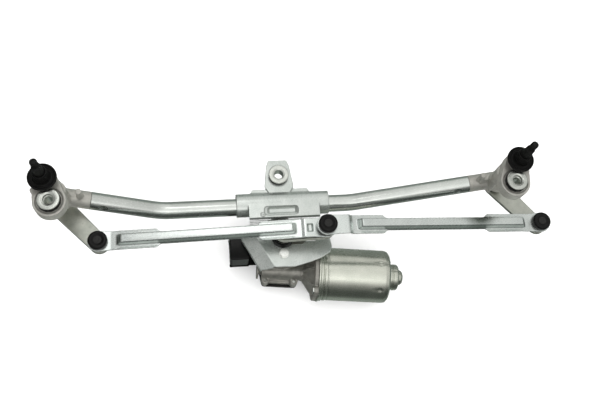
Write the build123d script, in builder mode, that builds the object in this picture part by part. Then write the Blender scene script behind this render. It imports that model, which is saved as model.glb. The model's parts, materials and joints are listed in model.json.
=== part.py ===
from build123d import *
import math
import os

# Windshield wiper linkage with its motor, in millimetres.
# +Z runs up along the two wiper spindles, +X along the assembly, and the origin is
# the top centre of the middle mounting sleeve.

# ---- driving dimensions -------------------------------------------------------
spindle_x = {"left": -254.0, "right": 265.0}
spindle_y = {"left": -23.0, "right": -23.5}
lever_radius = 68.6
lever_angle = {"left": -47.2, "right": -50.6}

shaft_x, shaft_y = 0.0, -74.6
crank_radius = 47.0
crank_angle = -0.4

tube_r, tube_wall = 10.0, 1.5
tube_y, tube_z = -35.4, -12.0
tube_bend_x = {"left": -138.0, "right": 84.0}
tube_meets_spindle_z = {"left": 22.0, "right": 16.5}
tube_bend_r = 70.0
spigot_reach = {"left": 41.0, "right": 41.0}
spigot_plug = 16.0

lever_top_z, lever_t = -6.5, 4.5
lever_hub_r, lever_tip_r = 12.5, 10.8
ball_r, ball_gap = 6.4, 0.1
lever_ball_z = 2.6
rod_t = 2.2
rod_half_width = 11.0
rib_half_width, rib_h, rib_wall = 6.2, 8.5, 1.8
outer_plate_z = 3.0
inner_plate_z = {"left": 21.0, "right": 29.5}
cap_r, socket_r = 10.7, 9.5

spindle_r = 6.0
running_gap = 0.06
barrel_r, barrel_bottom_z, barrel_top_z = 10.5, -3.6, 71.5
barrel_neck_r = 9.6
bush_r, bush_len = 8.0, 18.0
boot_r, boot_top_z = 15.1, 78.5
spindle_top_z = 118.5
thread_r, thread_len = 4.0, 11.0

eye_distance = 23.2
eye_x_offset = {"left": 5.5, "right": -5.8}
eye_bottom_z, eye_top_z = 52.5, 66.5
eye_r, eye_hole_r = 17.2, 10.4
grommet_r, recess_r = 12.4, 14.4
web_r = 13.6
mount_bore_r = 4.2
mount_flange_r, mount_flange_t = 11.8, 1.6
mount_sleeve_r = 6.0
centre_bore_r, centre_sleeve_r = 5.2, 6.9

sheet_t = 2.0
crank_z, crank_t = 8.0, 4.0
motor_plate_top_z = -12.0

motor_axis_z = -50.0
motor_turn = -6.4
centre_distance = 31.0
can_r, can_wall = 31.5, 2.0
can_end = 131.0
gear_case_r = 30.0
gear_case_top, gear_case_bottom = -26.0, -62.0
tunnel_screw_reach = (-16.0, 18.0)
case_screw_angles = (58.0, 140.0)
plug_centre = (-50.0, -77.5)
connector_ceiling_z = -37.0
shaft_r = 5.0
armature_shaft_r = 4.0
wheel_teeth = 50
wheel_tip_r, wheel_root_r = 25.0, 22.8
wheel_t = 12.0
worm_tip_r, worm_root_r = 5.5, 4.0

os.makedirs("parts", exist_ok=True)


# ---- helpers --------------------------------------------------------------------
def save(piece, name):
    """Label one finished piece and write its STEP."""
    piece.part.label = name
    export_step(piece.part, f"parts/{name}.step")


def level(x, y, z):
    """A horizontal plane through a point, facing up."""
    return Plane(origin=(x, y, z), x_dir=(1, 0, 0), z_dir=(0, 0, 1))


def upright(x, y):
    """A vertical plane through (x, y): its x is the row's X and its y is height."""
    return Plane(origin=(x, y, 0), x_dir=(1, 0, 0), z_dir=(0, -1, 0))


def vertical_axis(x, y):
    return Axis((x, y, 0), (0, 0, 1))


def on_circle(x, y, radius, degrees):
    """A point at a radius and a direction from (x, y)."""
    angle = math.radians(degrees)
    return x + radius * math.cos(angle), y + radius * math.sin(angle)


def turned(x, y, profile):
    """A solid of revolution about a vertical axis, from (radius, height) points."""
    with BuildPart() as piece:
        with BuildSketch(upright(x, y)):
            with BuildLine():
                Polyline(*profile, close=True)
            make_face()
        revolve(axis=vertical_axis(x, y))
    return piece


def turned_on_motor(profile):
    """A solid of revolution about the motor's axis, from (distance, radius) points."""
    with BuildPart() as piece:
        with BuildSketch(motor_side):
            with BuildLine():
                Polyline(*profile, close=True)
            make_face()
        revolve(axis=motor_axis)
    return piece


def tube_ring(x, y, bottom, height, outer, inner):
    """A plain vertical ring."""
    return turned(
        x,
        y,
        [(inner, bottom), (outer, bottom), (outer, bottom + height), (inner, bottom + height)],
    )


# ---- places worked out from the driving dimensions -------------------------------
sides = ("left", "right")
ball = {}
eye = {}
for side in sides:
    ball[side] = on_circle(spindle_x[side], spindle_y[side], lever_radius, lever_angle[side])
    eye_drop = math.sqrt(eye_distance**2 - eye_x_offset[side] ** 2)
    eye[side] = (spindle_x[side] + eye_x_offset[side], spindle_y[side] - eye_drop)
pin = on_circle(shaft_x, shaft_y, crank_radius, crank_angle)

along = Vector(1, 0, 0).rotate(Axis.Z, motor_turn)
across = Vector(0, -1, 0).rotate(Axis.Z, motor_turn)
motor_foot = Vector(shaft_x, shaft_y, motor_axis_z) + across * centre_distance
motor_side = Plane(origin=motor_foot, x_dir=along, z_dir=across)
motor_axis = Axis(motor_foot, along)


def motor_cross_plane(distance):
    """A plane square to the motor's axis, at a distance along it."""
    return Plane(origin=motor_foot + along * distance, x_dir=across, z_dir=along)


def spindle_point(side):
    """Where the tube's arm would meet the spindle's axis."""
    return Vector(spindle_x[side], spindle_y[side], tube_meets_spindle_z[side])


def bend_point(side):
    return Vector(tube_bend_x[side], tube_y, tube_z)


def arm_direction(side):
    """From the spindle's axis towards the tube's bend."""
    return (bend_point(side) - spindle_point(side)).normalized()


def arm_plane(side, distance):
    """A plane square to the tube's arm, at a distance from the spindle's axis."""
    direction = arm_direction(side)
    return Plane(origin=spindle_point(side) + direction * distance, z_dir=direction)


# ---- frame -----------------------------------------------------------------------
def make_frame_tube():
    """One steel tube, bent twice, with a crimp dimple near each end."""
    start = spindle_point("left") + arm_direction("left") * spigot_reach["left"]
    finish = spindle_point("right") + arm_direction("right") * spigot_reach["right"]
    with BuildPart() as frame_tube:
        with BuildLine():
            FilletPolyline(
                start, bend_point("left"), bend_point("right"), finish, radius=tube_bend_r
            )
        with BuildSketch(arm_plane("left", spigot_reach["left"])):
            Circle(tube_r)
            Circle(tube_r - tube_wall, mode=Mode.SUBTRACT)
        sweep()
        dimple_ball_r, dimple_depth = 14.0, 1.2
        for side in sides:
            centre = spindle_point(side) + arm_direction(side) * (spigot_reach[side] + 15.0)
            outward = (Vector(0, -1, 0.55)).normalized()
            spot = centre + outward * (tube_r + dimple_ball_r - dimple_depth)
            with Locations(spot):
                Sphere(dimple_ball_r, mode=Mode.SUBTRACT)
    save(frame_tube, "frame_tube")


def make_housing(side):
    """Cast end housing: spindle barrel, mounting eye, and a spigot for the tube."""
    x, y = spindle_x[side], spindle_y[side]
    eye_x, eye_y = eye[side]
    inward = 1 if side == "left" else -1
    with BuildPart() as housing:
        with BuildSketch(level(x, y, barrel_bottom_z)):
            Circle(barrel_r)
        extrude(amount=eye_top_z - barrel_bottom_z)
        with BuildSketch(level(x, y, eye_top_z)):
            Circle(barrel_neck_r)
        extrude(amount=barrel_top_z - eye_top_z)
        # The eye and the web that joins it to the barrel.
        with BuildSketch(level(0, 0, eye_bottom_z)):
            with Locations((eye_x, eye_y)):
                Circle(eye_r)
            with Locations((x, y)):
                Circle(web_r)
            make_hull()
        extrude(amount=eye_top_z - eye_bottom_z)
        # The body of the casting, down from the eye to the spigot.
        with BuildSketch(level(0, 0, tube_meets_spindle_z[side] - 9.0)):
            with Locations((x, y)):
                Circle(barrel_r + 2.0)
            with Locations((x + inward * 10.0, y - 6.0)):
                Circle(10.0)
            with Locations((x + inward * 2.0, y - 13.0)):
                Circle(8.0)
            make_hull()
        extrude(amount=eye_bottom_z - tube_meets_spindle_z[side] + 9.0)
        # Spigot with the tube's own diameter, and its smaller plug inside the tube.
        with BuildSketch(arm_plane(side, 0)):
            Circle(tube_r)
        extrude(amount=spigot_reach[side] - 0.2)
        with BuildSketch(arm_plane(side, 0)):
            Circle(tube_r - tube_wall - 1.0)
        extrude(amount=spigot_reach[side] + spigot_plug)
        # Stiffening rib over the spigot.
        rib_start = spindle_point(side) + Vector(inward * 6.0, -3.0, 0)
        rib_end = rib_start + Vector(inward * 24.0, -2.0, -2.0)
        with BuildSketch(level(0, 0, tube_meets_spindle_z[side] + 2.0)):
            with BuildLine():
                Polyline(
                    (rib_start.X, rib_start.Y + 2.5),
                    (rib_end.X, rib_end.Y + 2.5),
                    (rib_end.X, rib_end.Y - 2.5),
                    (rib_start.X, rib_start.Y - 2.5),
                    close=True,
                )
            make_face()
        extrude(amount=10.0, taper=12)
        # Bores: the spindle's bush seats, then the eye.
        with Locations((x, y, barrel_top_z)):
            Hole(bush_r, depth=barrel_top_z - barrel_bottom_z)
        with Locations((eye_x, eye_y, eye_top_z)):
            Hole(eye_hole_r, depth=eye_top_z - tube_meets_spindle_z[side] + 9.0)
        with BuildSketch(level(eye_x, eye_y, eye_top_z)):
            Circle(recess_r)
        extrude(amount=-1.2, mode=Mode.SUBTRACT)
        # Counterbore under the eye for the grommet's lower lip.
        with BuildSketch(level(eye_x, eye_y, tube_meets_spindle_z[side] - 10.0)):
            Circle(grommet_r + 0.4)
        extrude(amount=eye_bottom_z + 3.5 - tube_meets_spindle_z[side] + 10.0, mode=Mode.SUBTRACT)
        # Casting slots along the spigot's lower flank.
        flank = arm_plane(side, 18.0)
        with BuildSketch(Plane(origin=flank.origin, x_dir=(0, 1, 0), z_dir=flank.z_dir)):
            with Locations((-tube_r, 0.5)):
                Rectangle(3.0, 3.4)
        extrude(amount=16.0, mode=Mode.SUBTRACT)
    save(housing, f"{side}_housing")


def make_bushes(side):
    x, y = spindle_x[side], spindle_y[side]
    inner = spindle_r + running_gap
    lower = tube_ring(x, y, barrel_bottom_z, bush_len, bush_r - 0.02, inner)
    upper = tube_ring(x, y, barrel_top_z - bush_len, bush_len, bush_r - 0.02, inner)
    save(lower, f"{side}_lower_bush")
    save(upper, f"{side}_upper_bush")


def make_grommet(x, y, top, eye_low, eye_high, hole_r, outer_r, sleeve_r, name):
    """Rubber grommet with a groove that clips into its eye."""
    lip = 3.3
    inner = sleeve_r + 0.05
    neck = hole_r - 0.05
    grommet = turned(
        x,
        y,
        [
            (inner, eye_low - lip),
            (outer_r - 1.2, eye_low - lip),
            (outer_r, eye_low - 0.05),
            (neck, eye_low - 0.05),
            (neck, eye_high + 0.05),
            (outer_r, eye_high + 0.05),
            (outer_r, top - 0.8),
            (outer_r - 0.8, top),
            (inner, top),
        ],
    )
    save(grommet, name)


def make_mount_sleeve(x, y, top, bottom, name):
    """Flanged steel sleeve that a mounting screw passes through."""
    cup_r, cup_depth = 5.4, 3.0
    sleeve = turned(
        x,
        y,
        [
            (mount_bore_r, bottom),
            (mount_sleeve_r, bottom),
            (mount_sleeve_r, top - mount_flange_t),
            (mount_flange_r, top - mount_flange_t),
            (mount_flange_r, top - 0.4),
            (mount_flange_r - 0.6, top),
            (cup_r + 0.6, top),
            (cup_r, top - 0.5),
            (cup_r, top - cup_depth),
            (mount_bore_r, top - cup_depth - 0.8),
        ],
    )
    save(sleeve, name)


def make_centre_sleeve():
    """The middle sleeve: wider, and bored straight through."""
    sleeve = turned(
        0,
        0,
        [
            (centre_bore_r, -13.0),
            (centre_sleeve_r, -13.0),
            (centre_sleeve_r, -mount_flange_t),
            (mount_flange_r, -mount_flange_t),
            (mount_flange_r, -0.5),
            (mount_flange_r - 0.6, 0),
            (centre_bore_r, 0),
        ],
    )
    save(sleeve, "centre_mount_sleeve")


def make_boot(side):
    """Rubber rain boot: a broad disc over the barrel's top with a neck round the spindle."""
    skirt_r, skirt_wall = barrel_neck_r + 0.05, 0.95
    cavity_r = 9.25
    boot = turned(
        spindle_x[side],
        spindle_y[side],
        [
            (skirt_r, barrel_top_z - 4.3),
            (skirt_r + skirt_wall, barrel_top_z - 4.3),
            (skirt_r + skirt_wall, barrel_top_z + 2.0),
            (boot_r - 0.8, barrel_top_z + 3.2),
            (boot_r, barrel_top_z + 4.2),
            (boot_r, boot_top_z - 0.9),
            (boot_r - 0.8, boot_top_z),
            (boot_r - 2.2, boot_top_z - 0.4),
            (9.8, boot_top_z - 0.9),
            (8.8, boot_top_z + 0.4),
            (7.8, boot_top_z + 4.0),
            (7.3, boot_top_z + 12.0),
            (6.9, boot_top_z + 13.0),
            (spindle_r + 0.1, boot_top_z + 13.0),
            (spindle_r + 0.1, barrel_top_z + 4.2),
            (cavity_r, barrel_top_z + 4.2),
            (cavity_r, barrel_top_z + 0.05),
            (skirt_r, barrel_top_z + 0.05),
        ],
    )
    save(boot, f"{side}_boot")


def make_spindle(side):
    """Steel spindle: riveted foot, running journal, clip groove, cone and thread."""
    x, y = spindle_x[side], spindle_y[side]
    foot_z = lever_top_z - lever_t
    thread_z = spindle_top_z - thread_len
    groove_z = barrel_top_z + 1.4
    cone_z = spindle_top_z - 27.0
    with BuildPart() as spindle:
        with BuildSketch(upright(x, y)):
            with BuildLine():
                Polyline(
                    (0, foot_z - 1.8),
                    (5.4, foot_z - 1.8),
                    (6.2, foot_z - 0.9),
                    (6.2, foot_z),
                    (4.4, foot_z),
                    (4.4, lever_top_z),
                    (spindle_r, lever_top_z),
                    (spindle_r, groove_z),
                    (5.2, groove_z),
                    (5.2, groove_z + 1.1),
                    (spindle_r, groove_z + 1.1),
                    (spindle_r, cone_z - 0.5),
                    (5.6, cone_z),
                    (4.9, thread_z - 1.2),
                    (3.5, thread_z - 0.6),
                    (thread_r, thread_z),
                    (thread_r, spindle_top_z - 1.4),
                    (2.9, spindle_top_z),
                    (0, spindle_top_z),
                    close=True,
                )
            make_face()
        revolve(axis=vertical_axis(x, y))
        # Knurled flutes down the cone.
        with BuildSketch(level(x, y, cone_z + 1.5)):
            with PolarLocations(5.75, 24):
                Circle(0.42)
        extrude(amount=12.5, mode=Mode.SUBTRACT)
    save(spindle, f"{side}_spindle")


def make_spindle_washer(side):
    x, y = spindle_x[side], spindle_y[side]
    washer = tube_ring(x, y, barrel_top_z + 0.35, 0.9, 8.9, spindle_r + 0.02)
    save(washer, f"{side}_spindle_washer")


def make_circlip(side):
    """Open retaining ring in the spindle's groove."""
    x, y = spindle_x[side], spindle_y[side]
    with BuildPart() as circlip:
        with BuildSketch(level(x, y, barrel_top_z + 1.45)):
            Circle(8.2)
            Circle(5.25, mode=Mode.SUBTRACT)
            with Locations((0, 8.0)):
                Rectangle(4.0, 8.0, mode=Mode.SUBTRACT)
        extrude(amount=1.0)
    save(circlip, f"{side}_circlip")


def make_lever(side):
    """Pressed steel lever from the spindle's foot to its ball."""
    x, y = spindle_x[side], spindle_y[side]
    ball_x, ball_y = ball[side]
    with BuildPart() as lever:
        with BuildSketch(level(0, 0, lever_top_z - lever_t)):
            with Locations((x, y)):
                Circle(lever_hub_r)
            with Locations((ball_x, ball_y)):
                Circle(lever_tip_r)
            make_hull()
        extrude(amount=lever_t)
        chamfer(lever.faces().sort_by(Axis.Z)[-1].outer_wire().edges(), length=0.6)
        with Locations((x, y, lever_top_z)):
            Hole(4.42, depth=lever_t)
        with Locations((ball_x, ball_y, lever_top_z)):
            Hole(3.9, depth=lever_t)
    save(lever, f"{side}_lever")


def make_lever_ball(side):
    """Ball stud riveted through the lever's tip."""
    x, y = ball[side]
    foot_z = lever_top_z - lever_t
    flat_z = lever_ball_z + 5.4
    top_r = math.sqrt(ball_r**2 - 5.4**2)
    neck_r = 3.8
    neck_z = lever_ball_z - math.sqrt(ball_r**2 - neck_r**2)
    with BuildPart() as stud:
        with BuildSketch(upright(x, y)):
            with BuildLine():
                Polyline(
                    (0, flat_z),
                    (0, foot_z - 1.4),
                    (4.6, foot_z - 1.4),
                    (5.6, foot_z - 0.6),
                    (5.6, foot_z),
                    (3.88, foot_z),
                    (3.88, lever_top_z),
                    (6.6, lever_top_z),
                    (6.6, lever_top_z + 1.4),
                    (neck_r, lever_top_z + 1.8),
                    (neck_r, neck_z),
                )
                ThreePointArc((neck_r, neck_z), (ball_r, lever_ball_z), (top_r, flat_z))
                Line((top_r, flat_z), (0, flat_z))
            make_face()
        revolve(axis=vertical_axis(x, y))
    save(stud, f"{side}_lever_ball")


# ---- rods --------------------------------------------------------------------------
def make_rod(side):
    """Pressed sheet rod: flat eyes, stepped flanges and a raised hollow rib."""
    start = Vector(*ball[side], 0)
    end = Vector(*pin, 0)
    length = (end - start).length
    direction = (end - start).normalized()
    inner_z = inner_plate_z[side]
    body_start, body_end = 24.0, length - 30.0
    slope_start = 14.0
    body_high = {"left": inner_z - 1.6, "right": inner_z - 4.0}[side]
    side_plane = Plane(origin=start, x_dir=direction, z_dir=direction.cross(Vector(0, 0, 1)))
    top_plane = Plane(origin=start, x_dir=direction, z_dir=(0, 0, 1))
    sheet_line = [
        (-12.5, outer_plate_z),
        (slope_start, outer_plate_z),
        (body_end, body_high),
        (body_end + 6.0, inner_z),
        (length + 12.5, inner_z),
    ]
    sheet_back = [(s, z + rod_t) for s, z in reversed(sheet_line)]

    def body_z(s):
        share = (s - slope_start) / (body_end - slope_start)
        return outer_plate_z + share * (body_high - outer_plate_z)

    rib_from, rib_to = body_start - 5.0, body_end - 4.0
    wide_ends = {"left": (body_start + 45.0, body_end - 48.0), "right": (72.0, length - 70.0)}
    narrow_from, narrow_to = wide_ends[side]
    with BuildPart() as rod:
        with BuildSketch(side_plane):
            with BuildLine():
                Polyline(*sheet_line, *sheet_back, close=True)
            make_face()
        extrude(amount=rod_half_width + 1.0, both=True)
        # The rib, closed at its ends and hollow below.
        with BuildSketch(side_plane):
            with BuildLine():
                Polyline(
                    (rib_from, body_z(rib_from) + 0.5),
                    (rib_from + 5.0, body_z(rib_from + 5.0) + rib_h),
                    (rib_to - 5.0, body_z(rib_to - 5.0) + rib_h),
                    (rib_to, body_z(rib_to) + 0.5),
                    close=True,
                )
            make_face()
        extrude(amount=rib_half_width, both=True)
        with BuildSketch(side_plane):
            with BuildLine():
                Polyline(
                    (rib_from + 3.0, body_z(rib_from + 3.0) - 3.0),
                    (rib_from + 6.5, body_z(rib_from + 6.5) + rib_h - rib_wall),
                    (rib_to - 6.5, body_z(rib_to - 6.5) + rib_h - rib_wall),
                    (rib_to - 3.0, body_z(rib_to - 3.0) - 3.0),
                    close=True,
                )
            make_face()
        extrude(amount=rib_half_width - rib_wall, both=True, mode=Mode.SUBTRACT)
        # Plan outline: round eyes, wide flanges at both ends, narrow between.
        with BuildSketch(top_plane):
            Circle(12.0)
            with Locations((length, 0)):
                Circle(12.0)
            with BuildLine():
                wide, slim = rod_half_width, rib_half_width + 0.4
                upper_edge = [
                    (0, 12.0),
                    (body_start - 8.0, wide),
                    (narrow_from - 4.0, wide),
                    (narrow_from, slim),
                    (narrow_to, slim),
                    (narrow_to + 4.0, wide),
                    (body_end + 8.0, wide),
                    (length, 12.0),
                ]
                lower_edge = [(s, -half) for s, half in reversed(upper_edge)]
                Polyline(*upper_edge, *lower_edge, close=True)
            make_face()
        extrude(amount=60.0, mode=Mode.INTERSECT)
        # Holes for the two ball sockets.
        with Locations(start + Vector(0, 0, outer_plate_z + rod_t), end + Vector(0, 0, inner_z + rod_t)):
            Hole(8.2, depth=rod_t)
    save(rod, f"{side}_rod")


def make_outer_socket(side):
    """Plastic socket clipped into the rod's outer eye, hollow round the lever's ball."""
    x, y = ball[side]
    hollow_r = ball_r + ball_gap
    mouth_z = lever_ball_z - 4.6
    mouth_r = math.sqrt(hollow_r**2 - 4.6**2)
    top_z = lever_ball_z + hollow_r + 1.0
    with BuildPart() as socket:
        with BuildSketch(upright(x, y)):
            with BuildLine():
                Polyline(
                    (mouth_r, mouth_z),
                    (socket_r - 1.2, mouth_z - 0.6),
                    (socket_r, mouth_z + 0.6),
                    (socket_r, outer_plate_z - 0.05),
                    (8.15, outer_plate_z - 0.05),
                    (8.15, top_z),
                    (0, top_z),
                    (0, lever_ball_z + hollow_r),
                )
                ThreePointArc(
                    (0, lever_ball_z + hollow_r),
                    (hollow_r, lever_ball_z),
                    (mouth_r, mouth_z),
                )
            make_face()
        revolve(axis=vertical_axis(x, y))
    save(socket, f"{side}_rod_outer_socket")


def make_cap(x, y, plate_top, plug_r, plug_top, name):
    """Round black snap cap over a socket, with a raised rim and a dished top."""
    cap = turned(
        x,
        y,
        [
            (plug_r, plate_top + 0.05),
            (cap_r, plate_top + 0.05),
            (cap_r, plate_top + 5.0),
            (cap_r - 1.6, plate_top + 6.6),
            (6.6, plate_top + 6.9),
            (5.6, plate_top + 6.2),
            (2.2, plate_top + 6.2),
            (0, plate_top + 6.6),
            (0, plug_top),
            (plug_r, plug_top),
        ],
    )
    save(cap, name)


def make_inner_sockets():
    """Sockets at the crank end: a plain collar under the right rod, a capped one on top."""
    x, y = pin
    left_top = inner_plate_z["left"] + rod_t
    collar = turned(
        x,
        y,
        [
            (5.6, inner_plate_z["left"]),
            (8.15, inner_plate_z["left"]),
            (8.15, left_top + 0.05),
            (cap_r - 0.2, left_top + 0.05),
            (cap_r - 0.2, left_top + 4.4),
            (cap_r - 1.2, inner_plate_z["right"] - 0.7),
            (5.6, inner_plate_z["right"] - 0.7),
        ],
    )
    save(collar, "left_rod_inner_socket")
    right_top = inner_plate_z["right"] + rod_t
    plug = turned(
        x,
        y,
        [
            (5.6, inner_plate_z["right"]),
            (8.15, inner_plate_z["right"]),
            (8.15, right_top + 3.0),
            (0, right_top + 3.0),
            (0, right_top + 1.4),
            (5.6, right_top + 0.4),
        ],
    )
    save(plug, "right_rod_inner_socket")
    make_cap(x, y, right_top, 8.2, right_top + 3.1, "right_rod_inner_cap")


# ---- crank -------------------------------------------------------------------------
def make_crank():
    x, y = pin
    with BuildPart() as crank_arm:
        with BuildSketch(level(0, 0, crank_z)):
            with Locations((shaft_x, shaft_y)):
                Circle(12.0)
            with Locations((x, y)):
                Circle(10.4)
            make_hull()
        extrude(amount=crank_t)
        chamfer(crank_arm.faces().sort_by(Axis.Z)[-1].outer_wire().edges(), length=0.6)
        with Locations((shaft_x, shaft_y, crank_z + crank_t)):
            Hole(shaft_r - 0.5, depth=crank_t)
        with Locations((x, y, crank_z + crank_t)):
            Hole(3.9, depth=crank_t)
    save(crank_arm, "crank_arm")
    top = crank_z + crank_t
    stud = turned(
        x,
        y,
        [
            (0, crank_z - 1.6),
            (4.6, crank_z - 1.6),
            (5.6, crank_z - 0.8),
            (5.6, crank_z),
            (3.88, crank_z),
            (3.88, top),
            (7.2, top),
            (7.2, top + 1.6),
            (4.6, top + 2.4),
            (4.6, top + 3.2),
            (5.6, top + 4.6),
            (5.6, top + 6.4),
            (4.4, top + 8.2),
            (0, top + 8.2),
        ],
    )
    save(stud, "crank_ball_stud")
    with BuildPart() as crank_nut:
        with BuildSketch(level(shaft_x, shaft_y, top)):
            RegularPolygon(radius=7.5, side_count=6)
            Circle(4.05, mode=Mode.SUBTRACT)
        extrude(amount=4.4)
        chamfer(crank_nut.edges().filter_by(GeomType.LINE).group_by(Axis.Z)[-1], length=0.5)
    save(crank_nut, "crank_nut")


def make_output_shaft():
    """Output shaft, up from the worm wheel through the boss to the crank."""
    top = crank_z + crank_t
    shaft = turned(
        shaft_x,
        shaft_y,
        [
            (0, motor_axis_z - 8.0),
            (shaft_r, motor_axis_z - 8.0),
            (shaft_r, crank_z - 1.0),
            (shaft_r - 0.52, crank_z),
            (shaft_r - 0.52, top),
            (4.0, top),
            (4.0, top + 4.6),
            (3.2, top + 5.0),
            (0, top + 5.0),
        ],
    )
    save(shaft, "output_shaft")


def make_worm_wheel():
    """Moulded wheel: hub, web and fifty teeth."""
    tooth_rise = wheel_tip_r - wheel_root_r
    tooth = [(0, -0.95), (tooth_rise, -0.45), (tooth_rise, 0.45), (0, 0.95)]
    with BuildPart() as worm_wheel:
        with BuildSketch(level(shaft_x, shaft_y, motor_axis_z - wheel_t / 2)):
            Circle(wheel_root_r)
            with PolarLocations(wheel_root_r - 0.2, wheel_teeth):
                Polygon(*tooth, align=None)
            Circle(shaft_r + 0.01, mode=Mode.SUBTRACT)
        extrude(amount=wheel_t)
        with BuildSketch(level(shaft_x, shaft_y, motor_axis_z + 2.0)):
            Circle(wheel_root_r - 3.0)
            Circle(shaft_r + 4.0, mode=Mode.SUBTRACT)
        extrude(amount=wheel_t, mode=Mode.SUBTRACT)
    save(worm_wheel, "worm_wheel")


# ---- bracket -----------------------------------------------------------------------
def make_motor_bracket():
    """Pressed sheet bracket: sleeve round the tube, mounting lug, raised deck, motor plate."""
    sleeve_from, sleeve_to = -52.0, 57.0
    sleeve_inner = tube_r + 0.1
    sleeve_outer = sleeve_inner + sheet_t - 0.1
    sleeve_back = (3.4, 0.4)
    lug_top_z = -6.0
    flange_drop = 1.8
    deck_top_z = 0.0
    plate_z = motor_plate_top_z
    deck_from, deck_to = -38.0, 45.0
    with BuildPart() as motor_bracket:
        # Sleeve: a C-shaped wrap, open underneath.
        with BuildSketch(Plane(origin=(sleeve_from, tube_y, tube_z), x_dir=(0, 1, 0), z_dir=(1, 0, 0))):
            with Locations((0, 0), sleeve_back):
                Circle(sleeve_outer)
            make_hull()
            Circle(sleeve_inner, mode=Mode.SUBTRACT)
            with Locations(sleeve_back):
                Circle(sleeve_inner, mode=Mode.SUBTRACT)
            with Locations((0, -tube_r)):
                Rectangle(18.0, 2 * tube_r - 4.0, mode=Mode.SUBTRACT)
        extrude(amount=sleeve_to - sleeve_from)
        # Deck and ramp down to the motor plate, one bent sheet.
        with BuildSketch(Plane(origin=(deck_from, 0, 0), x_dir=(0, 1, 0), z_dir=(1, 0, 0))):
            with BuildLine():
                Polyline(
                    (tube_y, deck_top_z),
                    (-53.0, deck_top_z),
                    (-61.0, plate_z),
                    (-72.0, plate_z),
                    (-72.0, plate_z - sheet_t),
                    (-62.0, plate_z - sheet_t),
                    (-54.0, deck_top_z - sheet_t + 0.1),
                    (tube_y, deck_top_z - sheet_t + 0.1),
                    close=True,
                )
            make_face()
        extrude(amount=deck_to - deck_from)
        # Motor plate outline.
        with BuildSketch(level(0, 0, plate_z - sheet_t)):
            with BuildLine():
                Polyline(
                    (-38.0, -66.0),
                    (-31.0, -70.0),
                    (-10.5, -109.5),
                    (12.5, -110.0),
                    (31.0, -105.5),
                    (44.0, -101.0),
                    (54.5, -95.0),
                    (57.0, -88.0),
                    (55.0, -72.0),
                    (45.0, -66.0),
                    close=True,
                )
            make_face()
        extrude(amount=sheet_t)
        # Mounting lug with its shoulders.
        with BuildSketch(level(0, 0, lug_top_z - sheet_t)):
            with BuildLine():
                Polyline(
                    (-12.5, -26.0),
                    (-12.5, -20.5),
                    (-17.3, -13.5),
                    (-13.8, 13.0),
                    (-11.0, 20.0),
                    (11.0, 20.0),
                    (13.8, 13.0),
                    (17.3, -13.5),
                    (12.5, -20.5),
                    (12.5, -26.0),
                    close=True,
                )
            make_face()
        extrude(amount=sheet_t)
        # Flange behind the sleeve, a little lower than the lug.
        with BuildSketch(level(0, 0, lug_top_z - sheet_t - flange_drop)):
            with BuildLine():
                Polyline(
                    (-37.0, -24.5),
                    (-32.0, -15.8),
                    (33.0, -15.8),
                    (38.0, -24.5),
                    close=True,
                )
            make_face()
        extrude(amount=sheet_t)
        # Pocket pressed into the deck, down onto the tube.
        with BuildSketch(level(0, 0, deck_top_z)):
            with Locations((0, -45.0)):
                RectangleRounded(40.0, 11.0, 4.0)
        extrude(amount=-1.1, mode=Mode.SUBTRACT)
        # Left side band: the sheet bends down beyond a diagonal line.
        band_start = Vector(-31.0, -70.0, plate_z)
        band_end = Vector(-10.5, -109.5, plate_z)
        band_dir = (band_end - band_start).normalized()
        band_out = Vector(0, 0, 1).cross(band_dir)
        band_out = band_out if band_out.X < 0 else band_out * -1
        band_length = (band_end - band_start).length
        band_plane = Plane(origin=band_start - band_dir * 6.0, x_dir=band_out, z_dir=band_dir)
        down = 1 if band_plane.y_dir.Z < 0 else -1
        with BuildSketch(band_plane):
            with BuildLine():
                Polyline(
                    (-1.5, 0),
                    (1.0, 0),
                    (16.0, down * 8.0),
                    (16.0, down * 14.0),
                    (14.2, down * 14.0),
                    (14.2, down * 9.4),
                    (0.6, down * sheet_t),
                    (-1.5, down * sheet_t),
                    close=True,
                )
            make_face()
        extrude(amount=band_length + 5.0)
        # The band ends square with the plate's front edge.
        with BuildSketch(level(0, 0, plate_z - 20.0)):
            with Locations((band_end.X - 6.0, band_end.Y - 11.0)):
                Rectangle(40.0, 20.0)
        extrude(amount=22.0, mode=Mode.SUBTRACT)
        # Holes for the mount, the gear case's boss and the bolts.
        with Locations((0, 0, lug_top_z)):
            Hole(eye_hole_r - 1.2, depth=sheet_t)
        with Locations((shaft_x, shaft_y, plate_z)):
            Hole(11.2, depth=sheet_t + 1.0)
        for bolt_x, bolt_y in bolt_places():
            with Locations((bolt_x, bolt_y, plate_z)):
                Hole(3.3, depth=sheet_t)
        # Slot in the plate, open to the boss's hole.
        with BuildSketch(level(0, 0, plate_z)):
            with Locations((22.0, -77.0)):
                RectangleRounded(34.0, 6.0, 2.0)
        extrude(amount=-sheet_t, mode=Mode.SUBTRACT)
    save(motor_bracket, "motor_bracket")


def bolt_places():
    """Three bolts round the output shaft."""
    return [on_circle(shaft_x, shaft_y, 19.5, angle) for angle in (-90.0, 22.0, 168.0)]


def make_mount_bolts():
    """Hex-headed bolts through the bracket into the gear housing."""
    top = motor_plate_top_z
    with BuildPart() as bolts:
        for x, y in bolt_places():
            with BuildSketch(level(x, y, top)):
                Circle(5.8)
            extrude(amount=1.2)
            with BuildSketch(level(x, y, top + 1.2)):
                RegularPolygon(radius=5.4, side_count=6)
            extrude(amount=3.6)
            with BuildSketch(level(x, y, top)):
                Circle(3.0)
            extrude(amount=-14.0)
    save(bolts, "motor_mount_bolts")


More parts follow.
